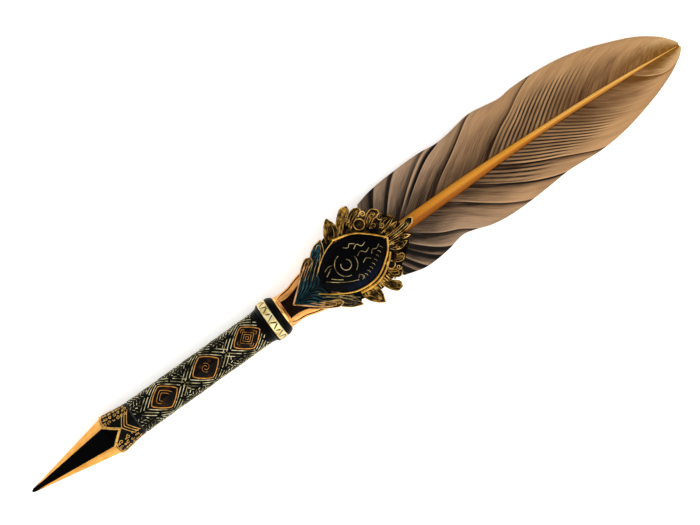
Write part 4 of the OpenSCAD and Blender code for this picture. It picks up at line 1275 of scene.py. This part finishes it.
# Each clump: where it starts along the shaft, how dark the painted shadow in the gap at its end is, how
# bright the painted highlight on its front edge is, and how much lighter or darker its colour is than its
# neighbours
left_clumps = (
    (0.0, 0.9, 0.3, -0.16), (0.03, 0.9, 0.3, 0.08), (0.066, 0.6, 0.45, 0.06), (0.109, 1.0, 0.6, 0.12),
    (0.125, 0.7, 0.3, -0.04), (0.224, 0.3, 0.3, 0.0), (0.40, 0.0, 0.25, 0.0))
right_clumps = (
    (0.0, 0.9, 0.0, -0.35), (0.015, 1.0, 0.5, -0.22), (0.032, 1.0, 0.5, -0.18), (0.055, 0.8, 0.3, -0.4),
    (0.072, 0.6, 0.6, -0.1), (0.109, 0.7, 0.3, -0.02), (0.246, 1.0, 0.8, 0.02), (0.33, 0.6, 0.6, -0.08),
    (0.417, 0.0, 0.5, 0.0), (0.853, 0.0, 0.7, 0.0))

# Millimetres that a barb sweeps forward from the shaft to the edge, along the shaft
left_sweep = ((0, 5), (0.066, 14), (0.11, 21), (0.125, 24), (0.224, 26), (0.35, 28), (0.5, 28), (0.7, 24),
              (0.85, 15), (0.95, 6), (1, 0.2))
right_sweep = ((0, 5), (0.07, 14), (0.11, 20), (0.246, 24), (0.33, 28), (0.42, 33), (0.55, 32), (0.7, 26),
               (0.85, 15), (0.95, 6), (1, 0.2))


def droop(station):
    """How far the vane's edge hangs below the shaft: it meets the table half-way along."""
    q = free_share(station)
    return (table_clear + shaft_dip) * min(1, 0.6 + 0.8 * q) * (1 if q < 0.5 else 1 - (q - 0.5))


def clump_of(t, clumps):
    """The clump that a barb is in, its place there from 0 to 1, and the clump's width."""
    index = max(0, sum(1 for row in clumps if row[0] <= t) - 1)
    start = clumps[index][0]
    end = clumps[index + 1][0] if index + 1 < len(clumps) else 1.0
    return index, (t - start) / (end - start), end - start


def barb_point(side, edge, sweeps, clump, t, b, shift):
    """A point on a barb: t along the shaft, b out along the barb, and how far it has strayed."""
    index, place, width = clump
    sweep = profile_at(sweeps, t) * mm
    root = vane_start + vane_length * 0.995 * t
    station = min(root + (sweep + shift * 0.5 * mm) * b ** 1.05, total_length - 0.01 * mm)
    middle = shaft_line(station)
    inner = shaft_half(station) * 0.8 - 0.12 * mm * smooth((station - 225 * mm) / (15 * mm))
    reach = max(0.02 * mm, abs(profile_at(edge, station) - middle.y) - inner)
    across = inner + reach * (1 - (1 - b) ** 1.25)
    hang = droop(station) * clamp(across / (16.8 * mm), 0, 1.1) ** 1.8
    lift = 0.0
    if index:
        lift = 0.75 * mm * (1 - place) ** 1.4 * smooth(b * 1.6) * min(1, width / 0.06) * (1 - t ** 3)
    return Vector((middle.x, middle.y + side * across, middle.z - hang + lift))


vane_stuff = surface("vane_stuff", (0.40, 0.26, 0.15), 0.6, specular=0.15)
barb_place = add_node(vane_stuff, "UVMap", uv_map="barbs").outputs[0]


def barb_noise(scale, detail):
    """Noise on the barbs' own map, stretched along them."""
    spread = add_node(vane_stuff, "Mapping", {0: barb_place, "Scale": scale}).outputs[0]
    return add_node(vane_stuff, "TexNoise", {"Vector": spread, "Scale": 1.0, "Detail": detail}).outputs["Fac"]


hair, cloud = barb_noise((320, 4, 1), 4), barb_noise((16, 2.5, 1), 3)
along = attribute(vane_stuff, "along")
dark_side = ramp(vane_stuff, along, (0.0, (0.004, 0.003, 0.003)), (0.08, (0.020, 0.012, 0.007)),
                 (0.25, (0.030, 0.013, 0.005)), (0.5, (0.046, 0.017, 0.004)), (0.75, (0.10, 0.038, 0.007)),
                 (1.0, (0.26, 0.12, 0.015)))
light_side = ramp(vane_stuff, along, (0.0, (0.30, 0.21, 0.14)), (0.1, (0.48, 0.33, 0.22)),
                  (0.3, (0.56, 0.35, 0.19)), (0.6, (0.60, 0.37, 0.185)), (0.85, (0.68, 0.43, 0.22)),
                  (1.0, (0.88, 0.64, 0.36)))
# Noise, a cloud and the per-vertex tone pick between the dark and light colours; the tone holds the feather's
# own colour with painted highlights and painted shade mixed in
mottle_and_painted_light = maths(vane_stuff, "MULTIPLY_ADD", hair, 0.8, -0.4)
clouded = maths(vane_stuff, "MULTIPLY_ADD", cloud, 0.5, -0.25)
mottle_and_painted_light = maths(vane_stuff, "ADD", attribute(vane_stuff, "tone_and_painted_light"), mottle_and_painted_light)
mottle_and_painted_light = maths(vane_stuff, "ADD", mottle_and_painted_light, clouded, use_clamp=True)
barbs = blended(vane_stuff, mottle_and_painted_light, dark_side, light_side)
# Near-black where the gap value is set: painted shadow at the end of a clump and painted shade between the
# barbs in the bars
drive(vane_stuff, blended(vane_stuff, attribute(vane_stuff, "gap"), barbs, (0.007, 0.005, 0.004, 1)))
bump(vane_stuff, hair, 0.10, 0.6)

# Each vane: its side, its lists above, where its bars begin, how dark its inner half is at the tip
draw = random.Random(23)
for name, side, edge, sweeps, clumps, bar_start, tip_shade in (
        ("left", 1, left_edge, left_sweep, left_clumps, 0.36, 0.06),
        ("right", -1, right_edge, right_sweep, right_clumps, 0.28, 0.2)):
    bm = bmesh.new()
    bmesh.ops.create_grid(bm, x_segments=barb_count * barb_steps, y_segments=barb_rows, size=0.5)
    layers = [bm.verts.layers.float.new(layer) for layer in ("along", "tone_and_painted_light", "gap")]
    barb_map = bm.loops.layers.uv.new("barbs")
    shifts = [draw.uniform(-1, 1) for _ in range(barb_count + 2)]
    tones = [draw.uniform(-1, 1) for _ in range(barb_count + 2)]
    flat = {}
    for vert in bm.verts:
        share, b = flat[vert] = (vert.co.x + 0.5, vert.co.y + 0.5)
        t = 1 - (1 - share) ** 1.08
        barb = int(min(share * barb_count, barb_count - 1e-6))
        within = share * barb_count - barb
        index, place, width = clump = clump_of(t, clumps)
        _, painted_end_shadow, painted_front_highlight, lean = clumps[index]
        shift = mix(shifts[barb], shifts[barb + 1], within) * (1 - t)
        vert.co = barb_point(side, edge, sweeps, clump, t, b, shift)
        barred = smooth((t - bar_start) / 0.10) * smooth((0.74 - t) / 0.22)
        barred *= smooth((0.66 - b) / 0.22) * smooth((b + 0.05) / 0.12)
        ridge = abs(math.sin(math.pi * within))
        vert.co.z += (0.04 + 0.24 * barred) * mm * ridge * smooth(b * 6) * (1 - t ** 6)
        # Painted shadow at the end of each clump, in the gap where the next clump laps over it
        painted_clump_end_shadow = painted_end_shadow * smooth((place - 1 + 0.012 / width) / (0.006 / width)) * smooth((b - 0.10) * 4)
        fret = 0.5 + 0.5 * noise.noise(Vector((barb * 3.1, b * 16, side * 7)))
        # Painted shade between the barbs of the bars, where the ridges are low
        painted_bar_shade = barred * smooth((0.80 - ridge) / 0.42) * clamp(0.75 + 0.9 * (fret - 0.3) + 0.15 * tones[barb])
        # A painted highlight along each clump's front edge
        front = 1.4 * painted_front_highlight * smooth(1 - (place * width) / 0.008) * smooth(b * 2.5)
        # The feather's colour, lighter outwards and differing per clump and per barb, plus the painted front
        # highlight, painted shading from light at each clump's start to dark at its end, and a painted
        # highlight on the raised barbs of the bars
        tone_with_painted_light = 0.16 + 0.62 * smooth((b - 0.02) / 0.85) + lean + front
        tone_with_painted_light += 0.16 * (0.5 - place) * min(1, width / 0.05) + 0.06 * tones[barb] + 0.26 * barred * ridge
        # Painted shadow on the last stretch of each clump, before the next one laps over it
        if index < len(clumps) - 1:
            tone_with_painted_light -= 0.30 * smooth((place * width - width + 0.035) / 0.035)
        if t > 0.85:
            tone_with_painted_light -= tip_shade * smooth((0.5 - b) / 0.4) * smooth((t - 0.85) / 0.05)
        for layer, value in zip(layers, (t, clamp(tone_with_painted_light), clamp(max(painted_clump_end_shadow, painted_bar_shade)))):
            vert[layer] = value
    for face in bm.faces:
        for corner in face.loops:
            corner[barb_map].uv = flat[corner.vert]
    if side < 0:
        bmesh.ops.reverse_faces(bm, faces=bm.faces)
    vane = to_piece("feather_vane_" + name, bm, vane_stuff, 80)
    vane.modifiers.new("thickness", "SOLIDIFY").thickness = barb_thickness
    fit(vane, "feather", "vane", "vane_" + name)
